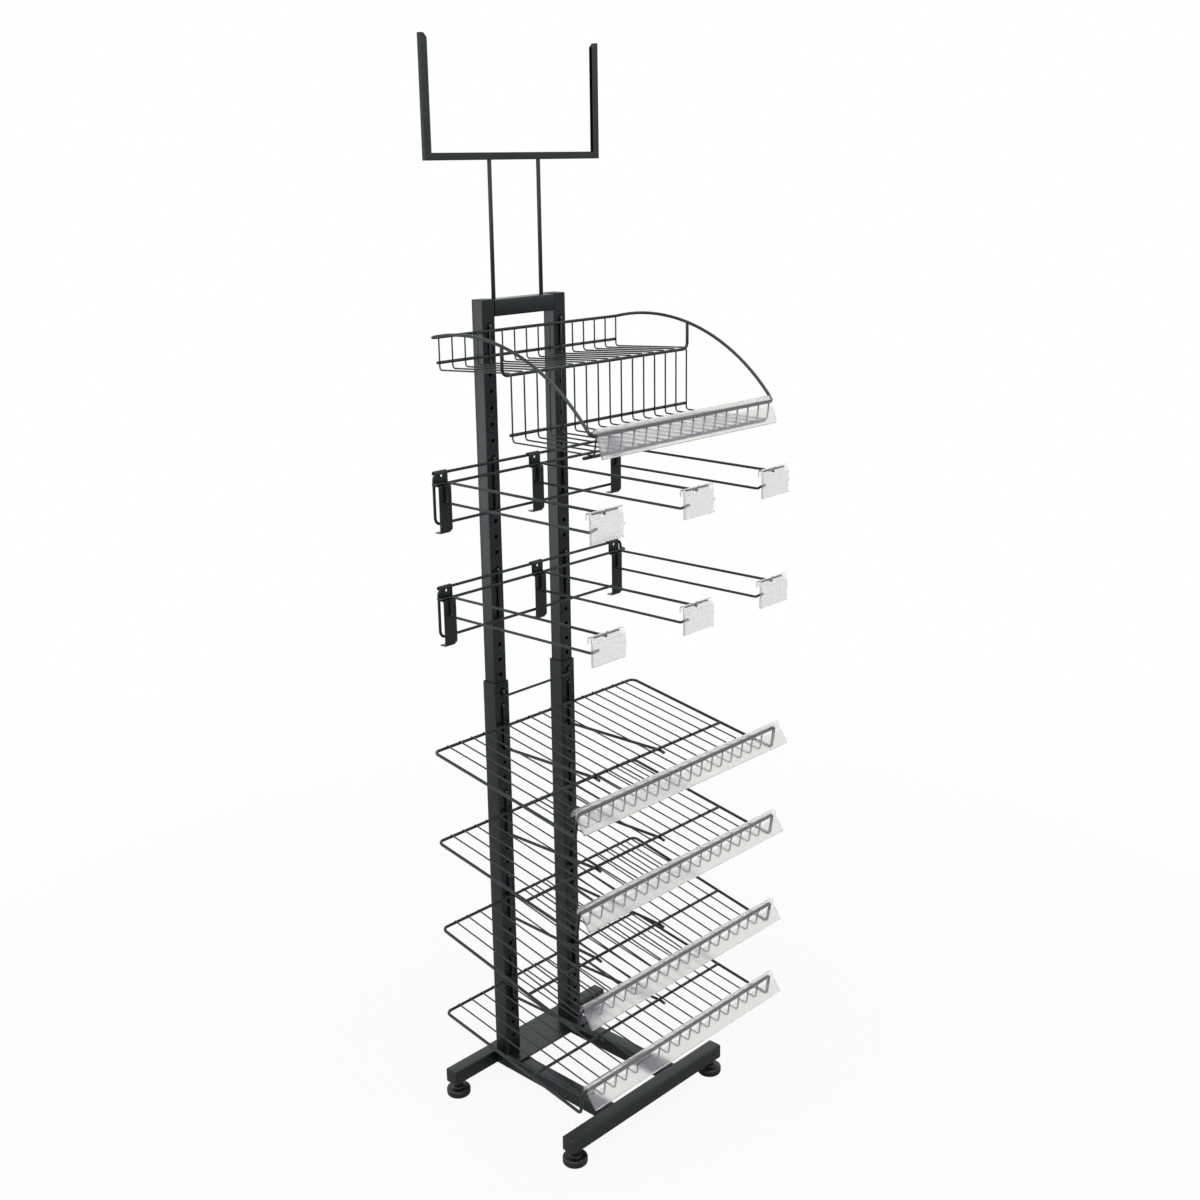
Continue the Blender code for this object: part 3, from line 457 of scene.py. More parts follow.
# %% The mast's four tubes
for side, end in SIDES:
    for level, section, first, last in (
        ("lower", LOWER_SECTION, 0, 25),
        ("upper", UPPER_SECTION, 20, 48),
    ):
        node = level + "_upright_" + end
        low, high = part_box(node)
        holes = hole_height(np.arange(first, last + 1)) - low.z
        tube = punched_tube(section, high.z - low.z, holes, HOLE, cell=22 * MM)
        place = (side * HALF_SPACING, MAST_Y, low.z)
        piece(level + "_tube_" + end, tube, STEEL, "stand", [node], place)

# %% Cross tube between the tops, with two holes for the sign's rods
ROD_HOLE = 7.3 * MM
low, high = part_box("top_cross_tube")
rods = [middle("sign_rod_" + end).x - low.x for _, end in SIDES]
cross = punched_tube(UPPER_SECTION, high.x - low.x, rods, ROD_HOLE, cell=16 * MM)
cross = laid(cross, (0, -1, 0), (0, 0, -1), (1, 0, 0))
place = (low.x, MAST_Y, (low.z + high.z) / 2)
piece("cross_tube", cross, STEEL, "stand", ["top_cross_tube"], place)

# %% [markdown]
# ## The base
# Two tubes across, two between them under the uprights, a plate on top and two bolts from
# below. The tubes' ends are shut by moulded plugs: a flange as wide as the tube and a stub
# inside it. A plug and the plate are rounded outlines stacked at several heights.

# %% Stacked outlines
PLUG_STUB = 8 * MM


def stacked(rows):
    """Outlines (width, depth, corner radius, height) joined one over the next; size 0 is a pole."""
    rings = [np.insert(outline((w, d), r), 2, height, axis=1) for w, d, r, height in rows]
    return np.concatenate(rings), grid_faces(len(rings), len(rings[0]), False, True)


def tube_plug(section, flange=1.8 * MM):
    """Flange with a turned-over edge, and a stub in the tube. From half the flange's height up,
    three rows make the edge's quarter round."""
    size, wall, radius = section
    inner = size - 2 * wall - 2 * GAP
    soft = max(radius - wall, wall / 2)
    return stacked([
        (0, 0, 0, flange),
        (size - flange, size - flange, radius - 0.44 * flange, flange),
        (size - 0.39 * flange, size - 0.39 * flange, radius - 0.17 * flange, 0.83 * flange),
        (size, size, radius, flange / 2),
        (size, size, radius, 0),
        (inner, inner, soft, 0),
        (inner, inner, soft, -PLUG_STUB),
        (0, 0, 0, -PLUG_STUB),
    ])


# %% Tubes and plugs of the base
BASE_HOLE, BASE_CELL = 8.6 * MM, 20 * MM
for row in ("rear", "front"):
    node = "base_" + row + "_tube"
    low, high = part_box(node)
    _, centre_y, centre_z = middle(node)
    stems = [middle("foot_stem_" + row + "_" + end).x - low.x for _, end in SIDES]
    tube = punched_tube(BASE_SECTION, high.x - low.x, stems, BASE_HOLE, BASE_CELL)
    tube = laid(tube, (0, 1, 0), (0, 0, 1), (1, 0, 0))
    piece(row + "_base_tube", tube, STEEL, "stand", [node], (low.x, centre_y, centre_z))
    for (side, end), x in zip(SIDES, (low.x - GAP, high.x + GAP)):
        plug = laid(tube_plug(BASE_SECTION), (0, side, 0), (0, 0, 1), (side, 0, 0))
        node = "base_" + row + "_plug_" + end
        piece(row + "_plug_" + end, plug, MOULDED, "stand", [node], (x, centre_y, centre_z))

for side, end in SIDES:
    node = "base_side_tube_" + end
    low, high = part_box(node)
    tube = punched_tube(BASE_SECTION, high.y - low.y, [MAST_Y - low.y], BASE_HOLE, BASE_CELL)
    tube = laid(tube, (-1, 0, 0), (0, 0, 1), (0, 1, 0))
    place = (side * HALF_SPACING, low.y, (low.z + high.z) / 2)
    piece("side_tube_" + end, tube, STEEL, "stand", [node], place)
    node = "upright_plug_" + end
    plug = tube_plug(UPPER_SECTION, 0.6 * MM)
    place = (side * HALF_SPACING, MAST_Y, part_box(node)[0].z + PLUG_STUB)
    piece("mast_plug_" + end, plug, MOULDED, "stand", [node], place)

# %% Plate on the base
low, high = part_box("base_plate")
wide, deep, thick = high - low
soft, corner = 0.4 * MM, 2 * MM
plate = stacked([
    (0, 0, 0, 0),
    (wide - 2 * soft, deep - 2 * soft, corner - soft, 0),
    (wide, deep, corner, soft),
    (wide, deep, corner, thick - soft),
    (wide - 2 * soft, deep - 2 * soft, corner - soft, thick),
    (0, 0, 0, thick),
])
piece("plate", plate, STEEL, "stand", ["base_plate"], (0, (low.y + high.y) / 2, low.z))

# %% [markdown]
# ## Turned pieces: feet, their screws and the bolts
# A foot is a round moulding, so it is a profile turned about its axis. Its screw has a real
# thread: the radius falls and rises once in each pitch, and the place where it does so
# climbs by one pitch in each turn. A bolt's hexagon is a radius that grows from the middle
# of each flat to its corners as 1 / cos.

# %% Turning
def turned(profile, sides=48, shape=None):
    """Profile points (radius, height) turned about Z: (r cos t, r sin t, z). Shape, if given,
    makes the radius out of r, z and t."""
    profile = np.asarray(profile, float)
    turn = np.linspace(0, 2 * np.pi, sides, endpoint=False)[None, :]
    radius, height = profile[:, :1], profile[:, 1:2] + 0 * turn
    radius = radius + 0 * turn if shape is None else shape(radius, height, turn)
    points = np.stack([radius * np.cos(turn), radius * np.sin(turn), height], -1)
    return points.reshape(-1, 3), grid_faces(len(profile), sides, False, True)


# %% Feet and their screws
PAD = np.array([
    (0, 8), (4.3, 8), (4.3, 16), (8.4, 16), (9, 15.6), (9.3, 14.6), (9.9, 13.7), (11, 13.2),
    (15.5, 12.9), (18, 12.6), (19.4, 11.7), (20, 10.2), (20, 3.4), (19.6, 1.7), (18.6, 0.5),
    (17.2, 0), (0, 0),
]) * MM
COLLAR = [
    (0, 8.3), (3.7, 8.3), (4, 8.7), (4, 16.3), (6.6, 16.3), (7.25, 16.9), (7.25, 24.1),
    (6.6, 24.7), (4, 24.7),
]
THREAD_PITCH, THREAD_DEPTH = 1.25 * MM, 0.55 * MM
# A row every fifth of the thread's pitch, and a chamfered top
STEM = np.array(COLLAR + [(4, z) for z in np.arange(24.9, 42.6, 0.25)] + [(3.4, 43), (0, 43)]) * MM


def threaded(radius, height, turn):
    """Above the collar the radius drops by up to the thread's depth, as a triangle wave of
    height / pitch - turn."""
    wave = np.abs(2 * ((height / THREAD_PITCH - turn / (2 * np.pi)) % 1) - 1)
    return radius - THREAD_DEPTH * wave * ((height > 24.8 * MM) & (height < 42.8 * MM))


for name in ("front_left", "front_right", "rear_left", "rear_right"):
    body = "foot_" + name
    place = middle("foot_pad_" + name) * Vector((1, 1, 0))
    piece(body, turned(PAD), MOULDED, body, ["foot_pad_" + name], place)
    stem = turned(STEM, 24, threaded)
    piece("foot_screw_" + name, stem, MOULDED, body, ["foot_stem_" + name], place)

# %% Bolts under the base
HEXAGON, CHAMFERED = 6.25 * MM, 6.1 * MM


def hexagon(radius, height, turn):
    """Rows wider than the head's chamfered edge follow the hexagon: half its width over cos
    of the angle from the flat."""
    flat = HEXAGON / np.cos((turn + np.pi / 6) % (np.pi / 3) - np.pi / 6)
    return np.where(radius > CHAMFERED, flat, radius)


for _, end in SIDES:
    node = "base_bolt_" + end
    low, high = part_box(node)
    top = (high.z - low.z) / MM
    rows = np.array([(0, 0), (5.9, 0), (6.25, 0.5), (6.25, 5), (4, 5), (4, top - 0.4),
                     (3.5, top), (0, top)]) * MM
    place = ((low.x + high.x) / 2, (low.y + high.y) / 2, low.z)
    piece("bolt_" + end, turned(rows, 48, hexagon), ZINC, "stand", [node], place)

# %% [markdown]
# ## Locking pin and the sign's rods
# Both are plain steel wire. The pin is one wire with two legs that go through the top
# holes of the lower tubes and hold the upper tubes. The rods stand in the cross tube and
# run a little way into the sign holder's bar, where they are welded.

# %% Pin and rods
PIN_WIRE, PIN_DROP, PIN_PAST_WALL = 4 * MM, 9 * MM, 5 * MM
ROD, ROD_INTO_BAR = 6.35 * MM, 0.9 * MM
pin_z = hole_height(25) - (HOLE / 2 - PIN_WIRE / 2 - GAP)
front, tip = -(LOWER_TUBE / 2 + PIN_WIRE), -(INNER_FACE - PIN_PAST_WALL)
legs = [(-1, tip, 0), (-1, front, 0), (-1, front, -PIN_DROP),
        (1, front, -PIN_DROP), (1, front, 0), (1, tip, 0)]
pin = wire(bend(np.array(legs) * (HALF_SPACING, 1, 1), PIN_WIRE), PIN_WIRE, sides=14)
piece("locking_wire", pin, STEEL, "pin", ["locking_pin"], (0, MAST_Y, pin_z))

for _, end in SIDES:
    node = "sign_rod_" + end
    low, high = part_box(node)
    x = middle(node).x
    rod = wire([(x, MAST_Y, low.z), (x, MAST_Y, high.z + ROD_INTO_BAR)], ROD, sides=24)
    piece("rod_" + end, rod, STEEL, "sign", [node])

# %% [markdown]
# ## Sign holder
# A shallow steel channel, open inwards, is bent to a U that a board slides into from
# above. Its section is carried round the U with a mitre at each lower corner: a point that
# lies a inside the outer edge stands a from the side and a from the bottom. The lips of
# the sides end in a slanting cut.

# %% Channel
low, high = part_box("sign_frame")
half, tall, deep = high.x, high.z - low.z, (high.y - low.y) / 2
SHEET, LIP, BAR_LIP, SLANT_CUT = 1 * MM, 12.5 * MM, 10.5 * MM, 6 * MM
turn = np.radians(np.linspace(0, 90, 5))
outer = 1.2 * MM
corner = np.stack([outer - outer * np.cos(turn), deep - outer + outer * np.sin(turn)], -1)
upper = np.concatenate([
    corner,
    [(LIP - SLANT_CUT, deep), (LIP, deep), (LIP, deep - SHEET),
     (LIP - SLANT_CUT, deep - SHEET), (SHEET, deep - SHEET)],
])
section = np.concatenate([upper, upper[::-1] * (1, -1)])
inside, across = section.T
bottom = np.where(inside > LIP - SLANT_CUT + 1e-9, BAR_LIP, inside)
top = tall - np.clip(inside - (LIP - SLANT_CUT), 0, None)
left, right = -half + inside, half - inside
rows = [(left, top), (left, bottom), (right, bottom), (right, top)]
channel = np.stack([np.stack([x, across, z], -1) for x, z in rows])
# The section is two halves, an upper and a lower one; a row of faces between them shuts an end
between = grid_faces(2, len(upper))
ends = []
for row in (channel[0], channel[-1]):
    ends.append((np.concatenate([row[: len(upper)], row[len(upper):][::-1]]), between))
faces = grid_faces(len(rows), len(section), False, True)
channel, place = join((channel.reshape(-1, 3), faces), *ends), (0, MAST_Y, low.z)
piece("sign_channel", channel, STEEL, "sign", ["sign_frame"], place, edge=SHEET_EDGE)

# %% [markdown]
# ## Wires that hang in the holes
# Shelves, basket and bars hang by wire hooks: a leg goes through a hole, turns up behind
# the tube's wall, and the front leg runs down the tube's face. The seat is how far the
# wire's middle lies under the middle of its hole.

# %% Hooks in the holes
HOOK_BEND, HOOK_TIP = 3.1 * MM, 8 * MM
WELD_FRAME, WELD_BAR, WELD_THIN = 4 * MM, 3.75 * MM, 2.75 * MM
BEND, FRONT_BEND = 10 * MM, 5 * MM


def seat(diameter):
    """A wire rests on the lower edge of its hole, with the CAD's gap."""
    return HOLE / 2 - diameter / 2 - GAP


def pivot(index, diameter):
    """The line in the holes that a hanging piece turns about."""
    return np.array([0, MAST_Y - INNER_FACE, hole_height(index) - seat(diameter)])


def two_hooks(diameter, tube, drop, more=(), more_bends=()):
    """A hook at each upright: up behind the wall, out through the hole, down in front, and on
    to more corners where they are given."""
    tip = GAP + diameter / 2 + GAP / 3
    front = INNER_FACE - tube / 2 - GAP - diameter / 2
    corners = in_plane(0, [(tip, HOOK_TIP), (tip, 0), (front, 0), (front, -drop)])
    path = bend([*corners, *more], [0, HOOK_BEND, HOOK_BEND, *more_bends, 0])
    return repeat(wire(path, diameter), [(-HALF_SPACING, 0, 0), (HALF_SPACING, 0, 0)])


print("a frame wire sits", round(seat(FRAME_WIRE) / MM, 2), "mm low in its hole")

# %% [markdown]
# ## Shelves
# A shelf is one welded piece: a rim of thick wire bent up to a lip in front, a rail under
# its middle, seventeen thin wires that follow floor and lip, and two brackets. It is drawn
# on the shelf's own slope, as X, way forward and height above, and then tilted.

# %% A shelf
SHELF_WIDE, SHELF_DEEP, SHELF_LIP = 459 * MM, 303.5 * MM, 37 * MM
MID_RAIL, SHELF_DROP, BRACKET_DROP = 198 * MM, 34.7 * MM, 74 * MM
SHELF_THIN_WIRES = 17


def on_slope(tilt, origin, points):
    """Points (x, forward, above) of a sloping shelf: forward runs to -Y and down, above stands
    square to it."""
    lean = np.radians(tilt)
    axes = [[1, 0, 0], [0, -np.cos(lean), -np.sin(lean)], [0, -np.sin(lean), np.cos(lean)]]
    return np.asarray(points, float) @ np.array(axes) + origin


def shelf_wires(tilt):
    """Rim, middle rail, brackets and floor wires of one shelf, about its pivot."""
    half = (SHELF_WIDE - FRAME_WIRE) / 2
    rail_y = INNER_FACE - LOWER_TUBE / 2 - GAP - FRAME_WIRE / 2 - WELD_FRAME
    origin = np.array([0, rail_y, seat(FRAME_WIRE) - SHELF_DROP])
    rim = [(-half, 0, 0), (-half, SHELF_DEEP, 0), (-half, SHELF_DEEP, SHELF_LIP),
           (half, SHELF_DEEP, SHELF_LIP), (half, SHELF_DEEP, 0), (half, 0, 0)]
    rim = bend(on_slope(tilt, origin, rim), [BEND] + [FRONT_BEND] * 4 + [BEND], closed=True)
    rail = on_slope(tilt, origin, [(-half, MID_RAIL, 0), (half, MID_RAIL, 0)])
    lip = SHELF_DEEP - WELD_THIN
    thin = [(0, -THIN_WIRE / 2, WELD_THIN), (0, lip, WELD_THIN), (0, lip, SHELF_LIP + GAP)]
    thin = wire(bend(on_slope(tilt, origin, thin), BEND / 2), THIN_WIRE, sides=10)
    across = (np.arange(SHELF_THIN_WIRES) - SHELF_THIN_WIRES // 2) * PITCH
    under = on_slope(tilt, origin, [(0, MID_RAIL, -WELD_FRAME)])[0]
    welded = [under, under + (0, -2 * FRAME_WIRE, -FRAME_WIRE / 2)]
    drop = BRACKET_DROP - seat(FRAME_WIRE)
    return join(
        wire(rim, FRAME_WIRE, closed=True),
        wire(rail, FRAME_WIRE),
        repeat(thin, np.outer(across, (1, 0, 0))),
        two_hooks(FRAME_WIRE, LOWER_TUBE, drop, welded, (FRAME_WIRE, 0)),
    ), on_slope(tilt, origin, [(0, SHELF_DEEP, SHELF_LIP)])[0]


# %% [markdown]
# ## Clear label strips
# A strip is one extruded section: a clip that snaps over the rail from above, and a flap of
# two leaves, folded at its lower edge, that holds a paper label between them. It is a flat
# path of (y, z) points drawn out along X, made a sheet of even thickness.

# %% A sheet drawn out along X
def arc(centre, radius, start, end, steps=12):
    """Points on a circle: centre + r (cos a, sin a)."""
    angle = np.radians(np.linspace(start, end, steps + 1))
    return np.asarray(centre) + radius * np.stack([np.cos(angle), np.sin(angle)], -1)


def drawn_sheet(path, columns, cut_rows=0, cut_columns=()):
    """The path of (y, z) points at each x in columns. The cut columns are left out of the
    first rows."""
    path, columns = np.asarray(path, float), np.asarray(columns, float)
    points = np.empty((len(path), len(columns), 3))
    points[..., 0] = columns
    points[..., 1:] = path[:, None]
    kept = np.ones((len(path) - 1, len(columns) - 1), bool)
    kept[:cut_rows, list(cut_columns)] = False
    return points.reshape(-1, 3), grid_faces(len(path), len(columns))[kept.ravel()]


def tilted(shape, degrees):
    """Turned about the X axis: y cos t - z sin t, y sin t + z cos t."""
    c, s = np.cos(np.radians(degrees)), np.sin(np.radians(degrees))
    return shape[0] @ np.array([[1, 0, 0], [0, c, s], [0, -s, c]]), shape[1]


# %% A strip's section
STRIP_SHEET, STRIP_RISE, STRIP_LEG, KNEE_BEND = 1.2 * MM, 4 * MM, 3 * MM, 1 * MM
# A fold's two radii together are a little less than the distance between its leaves
FOLD = 0.49


def strip_path(lean, high):
    """Leg behind the rail, half circle over it, then down the back leaf, round the fold and up
    in front."""
    rail, rear = FRAME_WIRE / 2, WELD_THIN + THIN_WIRE / 2
    radius = (rail + rear) / 2 + GAP + STRIP_SHEET / 2
    centre = np.array([(rear - rail) / 2, STRIP_RISE])
    c, s = np.cos(np.radians(lean)), np.sin(np.radians(lean))
    down, out = np.array([-s, -c]), np.array([-c, s])
    knee = np.array([centre[0] - radius, -STRIP_SHEET])
    leaf = 2 * STRIP_SHEET
    over = arc(centre, radius, 0, 180)
    fold = knee + down * high
    corners = [(centre[0] + radius, -STRIP_LEG), *over, knee, fold, fold + out * leaf,
               knee + out * leaf + down * 4 * STRIP_SHEET]
    radii = [0] * (1 + len(over)) + [KNEE_BEND, leaf * FOLD, leaf * FOLD, 0]
    return bend(corners, radii, steps=4)


# %% The four shelves and their strips
# Hole, slope in degrees, length of the label strip and how far it is slid to the right
SHELVES = [(24, 9.2, 470, 0), (18, 9.8, 458, 1), (12, 11.7, 454, 3), (6, 9.0, 453, 5)]
SHELF_STRIP = strip_path(lean=45, high=27.5 * MM)
print("a strip's section has", len(SHELF_STRIP), "points")

for number, (hole_index, tilt, length, slid) in enumerate(SHELVES, 1):
    wires, rail = shelf_wires(tilt)
    place, number = pivot(hole_index, FRAME_WIRE), str(number)
    body = "shelf_unit_" + number
    piece("shelf_wires_" + number, wires, STEEL, body, ["shelf_" + number], place)
    strip = drawn_sheet(SHELF_STRIP, np.array([-length / 2, length / 2]) * MM + slid * MM)
    piece("shelf_strip_" + number, tilted(strip, tilt), STRIP, body,
          ["shelf_label_strip_" + number], place + rail, STRIP_SHEET, SHEET_EDGE)

# %% [markdown]
# ## Basket
# The basket's sides are one rim of thick wire: from the mast each side swings down to the
# front in one circular arc. A stepped floor of sixteen thin wires hangs in it, with
# straight rails welded under each step.

# %% The basket's wires
BASKET_WIDE, BASKET_THIN_WIRES, WIRE_SHIFT = 394 * MM, 16, 4.5 * MM
# Depths under the middle of its holes
RIM, BACK_RAIL, TIER, STEP_RAIL = 8.5 * MM, 45 * MM, 50.5 * MM, 134.5 * MM
TIER_FLOOR, FRONT_RAIL, FLOOR = 55.5 * MM, 115.7 * MM, 144 * MM
# Ways to the front from the mast's middle, then the circle that the sides follow
TIER_FORWARD, LIP_FORWARD, RIM_FORWARD = 168 * MM, 327 * MM, 334.5 * MM
RIM_RADIUS, RIM_FRONT_BEND, RAIL_PAST_WIRES = 313 * MM, 6 * MM, 2.5 * MM


def basket_wires():
    """All wires of the basket about its pivot, with the places of its front rail and its lip."""
    half, outer = BASKET_WIDE / 2, (BASKET_THIN_WIRES - 1) / 2 * PITCH
    rail_y = INNER_FACE - UPPER_TUBE / 2 - GAP - FRAME_WIRE / 2 - WELD_FRAME
    top, front_y = seat(FRAME_WIRE), INNER_FACE - RIM_FORWARD
    rear, front = np.array([rail_y, top - RIM]), np.array([front_y, top - FRONT_RAIL])
    chord = front - rear
    rise = np.sqrt(RIM_RADIUS**2 - (chord @ chord) / 4)
    square = unit(np.array([-chord[1], chord[0]]))
    centre = (rear + front) / 2 - square * rise * np.sign(square[1])
    ends = [np.degrees(np.arctan2(*(point - centre)[::-1])) for point in (rear, front)]
    side = arc(centre, RIM_RADIUS, ends[0], ends[1], 24)
    loop = np.concatenate([in_plane(-half, side), in_plane(half, side[::-1])])
    radii = np.zeros(len(loop))
    radii[[0, -1]] = BEND
    radii[[len(side) - 1, len(side)]] = RIM_FRONT_BEND
    parts = [wire(bend(loop, radii, closed=True), FRAME_WIRE, closed=True)]

    tier_y, tier_z = INNER_FACE - TIER_FORWARD, top - TIER
    on_arc = centre[1] + np.sqrt(RIM_RADIUS**2 - (tier_y - centre[0]) ** 2)
    tier = in_plane(-half, [(tier_y, on_arc), (tier_y, tier_z)])
    tier = np.concatenate([tier, tier[::-1] * (-1, 1, 1)])
    parts.append(wire(bend(tier, BEND), FRAME_WIRE))

    floor_z, lip_y = top - FLOOR, INNER_FACE - LIP_FORWARD
    for shift, reach, y, z in (
        (WIRE_SHIFT, outer + RAIL_PAST_WIRES, rail_y, top - BACK_RAIL),
        (WIRE_SHIFT, outer + RAIL_PAST_WIRES, tier_y, top - STEP_RAIL),
        (0, half, lip_y + 1.5 * FRAME_WIRE, floor_z - WELD_THIN),
    ):
        parts.append(wire([(shift - reach, y, z), (shift + reach, y, z)], FRAME_WIRE))

    back_y, step_y = rail_y - WELD_THIN, tier_y - WELD_THIN
    thin = [(back_y, top - RIM + THIN_WIRE / 2), (back_y, top - TIER_FLOOR),
            (step_y, tier_z + WELD_THIN), (step_y, floor_z), (lip_y, floor_z),
            (front_y + WELD_THIN, top - FRONT_RAIL + GAP)]
    thin = wire(bend(in_plane(0, thin), BEND / 2), THIN_WIRE, sides=10)
    across = np.arange(BASKET_THIN_WIRES) * PITCH - outer + WIRE_SHIFT
    parts.append(repeat(thin, np.outer(across, (1, 0, 0))))
    parts.append(two_hooks(FRAME_WIRE, UPPER_TUBE, BACK_RAIL - top + FRAME_WIRE / 2))
    lean = np.degrees(np.arctan2(lip_y - front_y, FLOOR - FRONT_RAIL))
    return join(*parts), np.array([0, front_y, top - FRONT_RAIL]), lean


wires, rail, lip_tilt = basket_wires()
place = pivot(48, FRAME_WIRE)
piece("basket_wires", wires, STEEL, "basket_unit", ["basket"], place)

# %% The basket's strip
STRIP_INSET = 8 * MM
half = BASKET_WIDE / 2 - STRIP_INSET
strip = drawn_sheet(strip_path(lean=33, high=30 * MM), [-half, half])
piece("basket_strip", tilted(strip, lip_tilt), STRIP, "basket_unit", ["basket_label_strip"],
      place + rail, STRIP_SHEET, SHEET_EDGE)

# %% [markdown]
# ## Hook bars, hooks and ticket holders
# A bar is a flat loop of wire with a second wire a little in front of it. A hook's plate is
# bent over the loop, steps forward over the second wire and ends in a small lip; a wire is
# welded to it in a long U, whose upper arm carries a cross wire for the ticket holder.

# %% The bars
BAR_WIDE, BAR_HIGH, BAR_DROP = 403.4 * MM, 76.2 * MM, 5.75 * MM
SECOND_DROP, SECOND_FORWARD, SECOND_BEND = 15 * MM, 7.5 * MM, BAR_WIRE * 0.55


def bar_wires():
    """Loop, second wire and hooks of a bar about its pivot."""
    half, top = BAR_WIDE / 2, seat(BAR_WIRE) - BAR_DROP
    y = INNER_FACE - UPPER_TUBE / 2 - GAP - BAR_WIRE / 2 - WELD_BAR
    loop = [(-half, y, top), (-half, y, top - BAR_HIGH), (half, y, top - BAR_HIGH), (half, y, top)]
    end, front, low_z = half + BAR_WIRE / 2, y - SECOND_FORWARD, top - SECOND_DROP
    second = [(-end, y, low_z), (-end, front, low_z), (end, front, low_z), (end, y, low_z)]
    drop = BAR_DROP - seat(BAR_WIRE) + BAR_HIGH + BAR_WIRE / 2
    return join(
        wire(bend(loop, BEND, closed=True), BAR_WIRE, closed=True),
        wire(bend(second, SECOND_BEND), BAR_WIRE),
        two_hooks(BAR_WIRE, UPPER_TUBE, drop),
    ), np.array([0, y, top])


bar, bar_top = bar_wires()
print("a bar's wires:", len(bar[0]), "points")

# %% A hook's plate
HOOK_SHEET, HOOK_WIDE, HOOK_HIGH = 1.5 * MM, 24 * MM, 88.6 * MM
HOOK_STEP, HOOK_LIP = 7 * MM, 12 * MM
STEP_BEND, LIP_BEND, ROUNDED = 1.7 * MM, 1.6 * MM, 4.5 * MM
PLATE_HOLE, PLATE_HOLE_DROP, PLATE_CELL = 4 * MM, 3.5 * MM, 3.2 * MM
RING = BAR_WIRE / 2 + GAP + HOOK_SHEET / 2
FACE = -RING - HOOK_STEP


def hook_plate(steps=5):
    """A strip of sheet as a map of (way along, x) to its bent path, with a round hole near its
    top. The right lower corner is a quarter circle: x runs in by r - sqrt(r^2 - d^2), d past
    the corner's start."""
    step_z = -(SECOND_DROP + BAR_WIRE / 2 + GAP + HOOK_SHEET / 2)
    over = arc((0, 0), RING, 0, 180)
    corners = [(RING, -BAR_WIRE / 2), *over, (-RING, step_z), (FACE, step_z), (FACE, -HOOK_HIGH),
               (FACE + HOOK_LIP, -HOOK_HIGH)]
    path = bend(corners, [0] * (1 + len(over)) + [STEP_BEND, STEP_BEND, LIP_BEND, 0], steps=steps)
    way = np.concatenate([[0], np.cumsum(np.linalg.norm(np.diff(path, axis=0), axis=1))])
    half, hole = HOOK_WIDE / 2, way[len(over)] + PLATE_HOLE_DROP
    # The lip's bend has steps + 1 points, and one more point ends the path
    bottom = way[-steps - 2]
    cell = np.linspace(-PLATE_CELL, PLATE_CELL, steps + 1)
    quarter = bottom - ROUNDED * (1 - np.sin(np.linspace(0, np.pi / 2, 6)))
    rows = np.unique(np.round(np.concatenate([way, hole + cell, quarter]), 8))
    columns = np.concatenate([[-half], cell, [half]])
    past = np.clip(rows - (bottom - ROUNDED), 0, ROUNDED)
    flat = np.empty((len(rows), len(columns), 2))
    flat[..., 0] = rows[:, None]
    flat[..., 1] = columns
    flat[:, -1, 1] = half - ROUNDED + np.sqrt(ROUNDED**2 - past**2)
    kept = np.ones((len(rows) - 1, len(columns) - 1), bool)
    inside = (rows[:-1] > hole - PLATE_CELL - 1e-6) & (rows[1:] < hole + PLATE_CELL + 1e-6)
    kept[np.ix_(inside, np.arange(1, steps + 1))] = False
    rectangle, circle = plate_round_hole(PLATE_CELL, PLATE_CELL, PLATE_HOLE, steps)
    cut = np.stack([rectangle, circle])[..., ::-1] + (hole, 0)
    sheet, faces = join(
        (flat.reshape(-1, 2), grid_faces(len(rows), len(columns))[kept.ravel()]),
        (cut.reshape(-1, 2), grid_faces(2, 4 * steps, False, True)),
    )
    y, z = (np.interp(sheet[:, 0], way, path[:, i]) for i in (0, 1))
    return np.column_stack([sheet[:, 1], y, z]), faces


# %% A hook's arms
ARM_TOP, ARM_BOTTOM, ARM_REACH, LOWER_REACH = 12 * MM, 43 * MM, 332.5 * MM, 302.5 * MM
TIP_FORWARD, TIP_UP, TIP_BEND = 14 * MM, 8 * MM, 9 * MM
CROSS_WIRE, CROSS_HALF = 3 * MM, 25 * MM


def hook_arms(rise):
    """One wire from the tip of the upper arm back to the plate, down it and out to the lower
    arm's tip, with the cross wire on top. The arms rise towards their tips."""
    y = FACE - HOOK_SHEET / 2 - GAP - ARM_WIRE / 2
    tip = np.array([0, -LOWER_REACH, -ARM_BOTTOM + rise * LOWER_REACH / ARM_REACH])
    corners = [(0, -ARM_REACH, -ARM_TOP + rise), (0, y, -ARM_TOP), (0, y, -ARM_BOTTOM), tip,
               tip + (0, -TIP_FORWARD, TIP_UP)]
    arm = wire(bend(corners, [0, ARM_WIRE, ARM_WIRE, TIP_BEND, 0]), ARM_WIRE)
    cross = np.array([0, -(ARM_REACH - CROSS_WIRE / 3), -ARM_TOP + rise + CROSS_WIRE])
    bar = wire(cross + np.outer([-CROSS_HALF, CROSS_HALF], (1, 0, 0)), CROSS_WIRE, sides=12)
    return join(arm, bar), cross


# %% A ticket holder
TICKET_SHEET, TICKET_HIGH, TICKET_GAP, TICKET_LEG = 1 * MM, 39.5 * MM, 1.2 * MM, 7.5 * MM
HALF_TICKET, HALF_NOTCH, TICKET_MOUTH, TICKET_EDGE = 33 * MM, 2.75 * MM, 6 * MM, 0.2 * MM


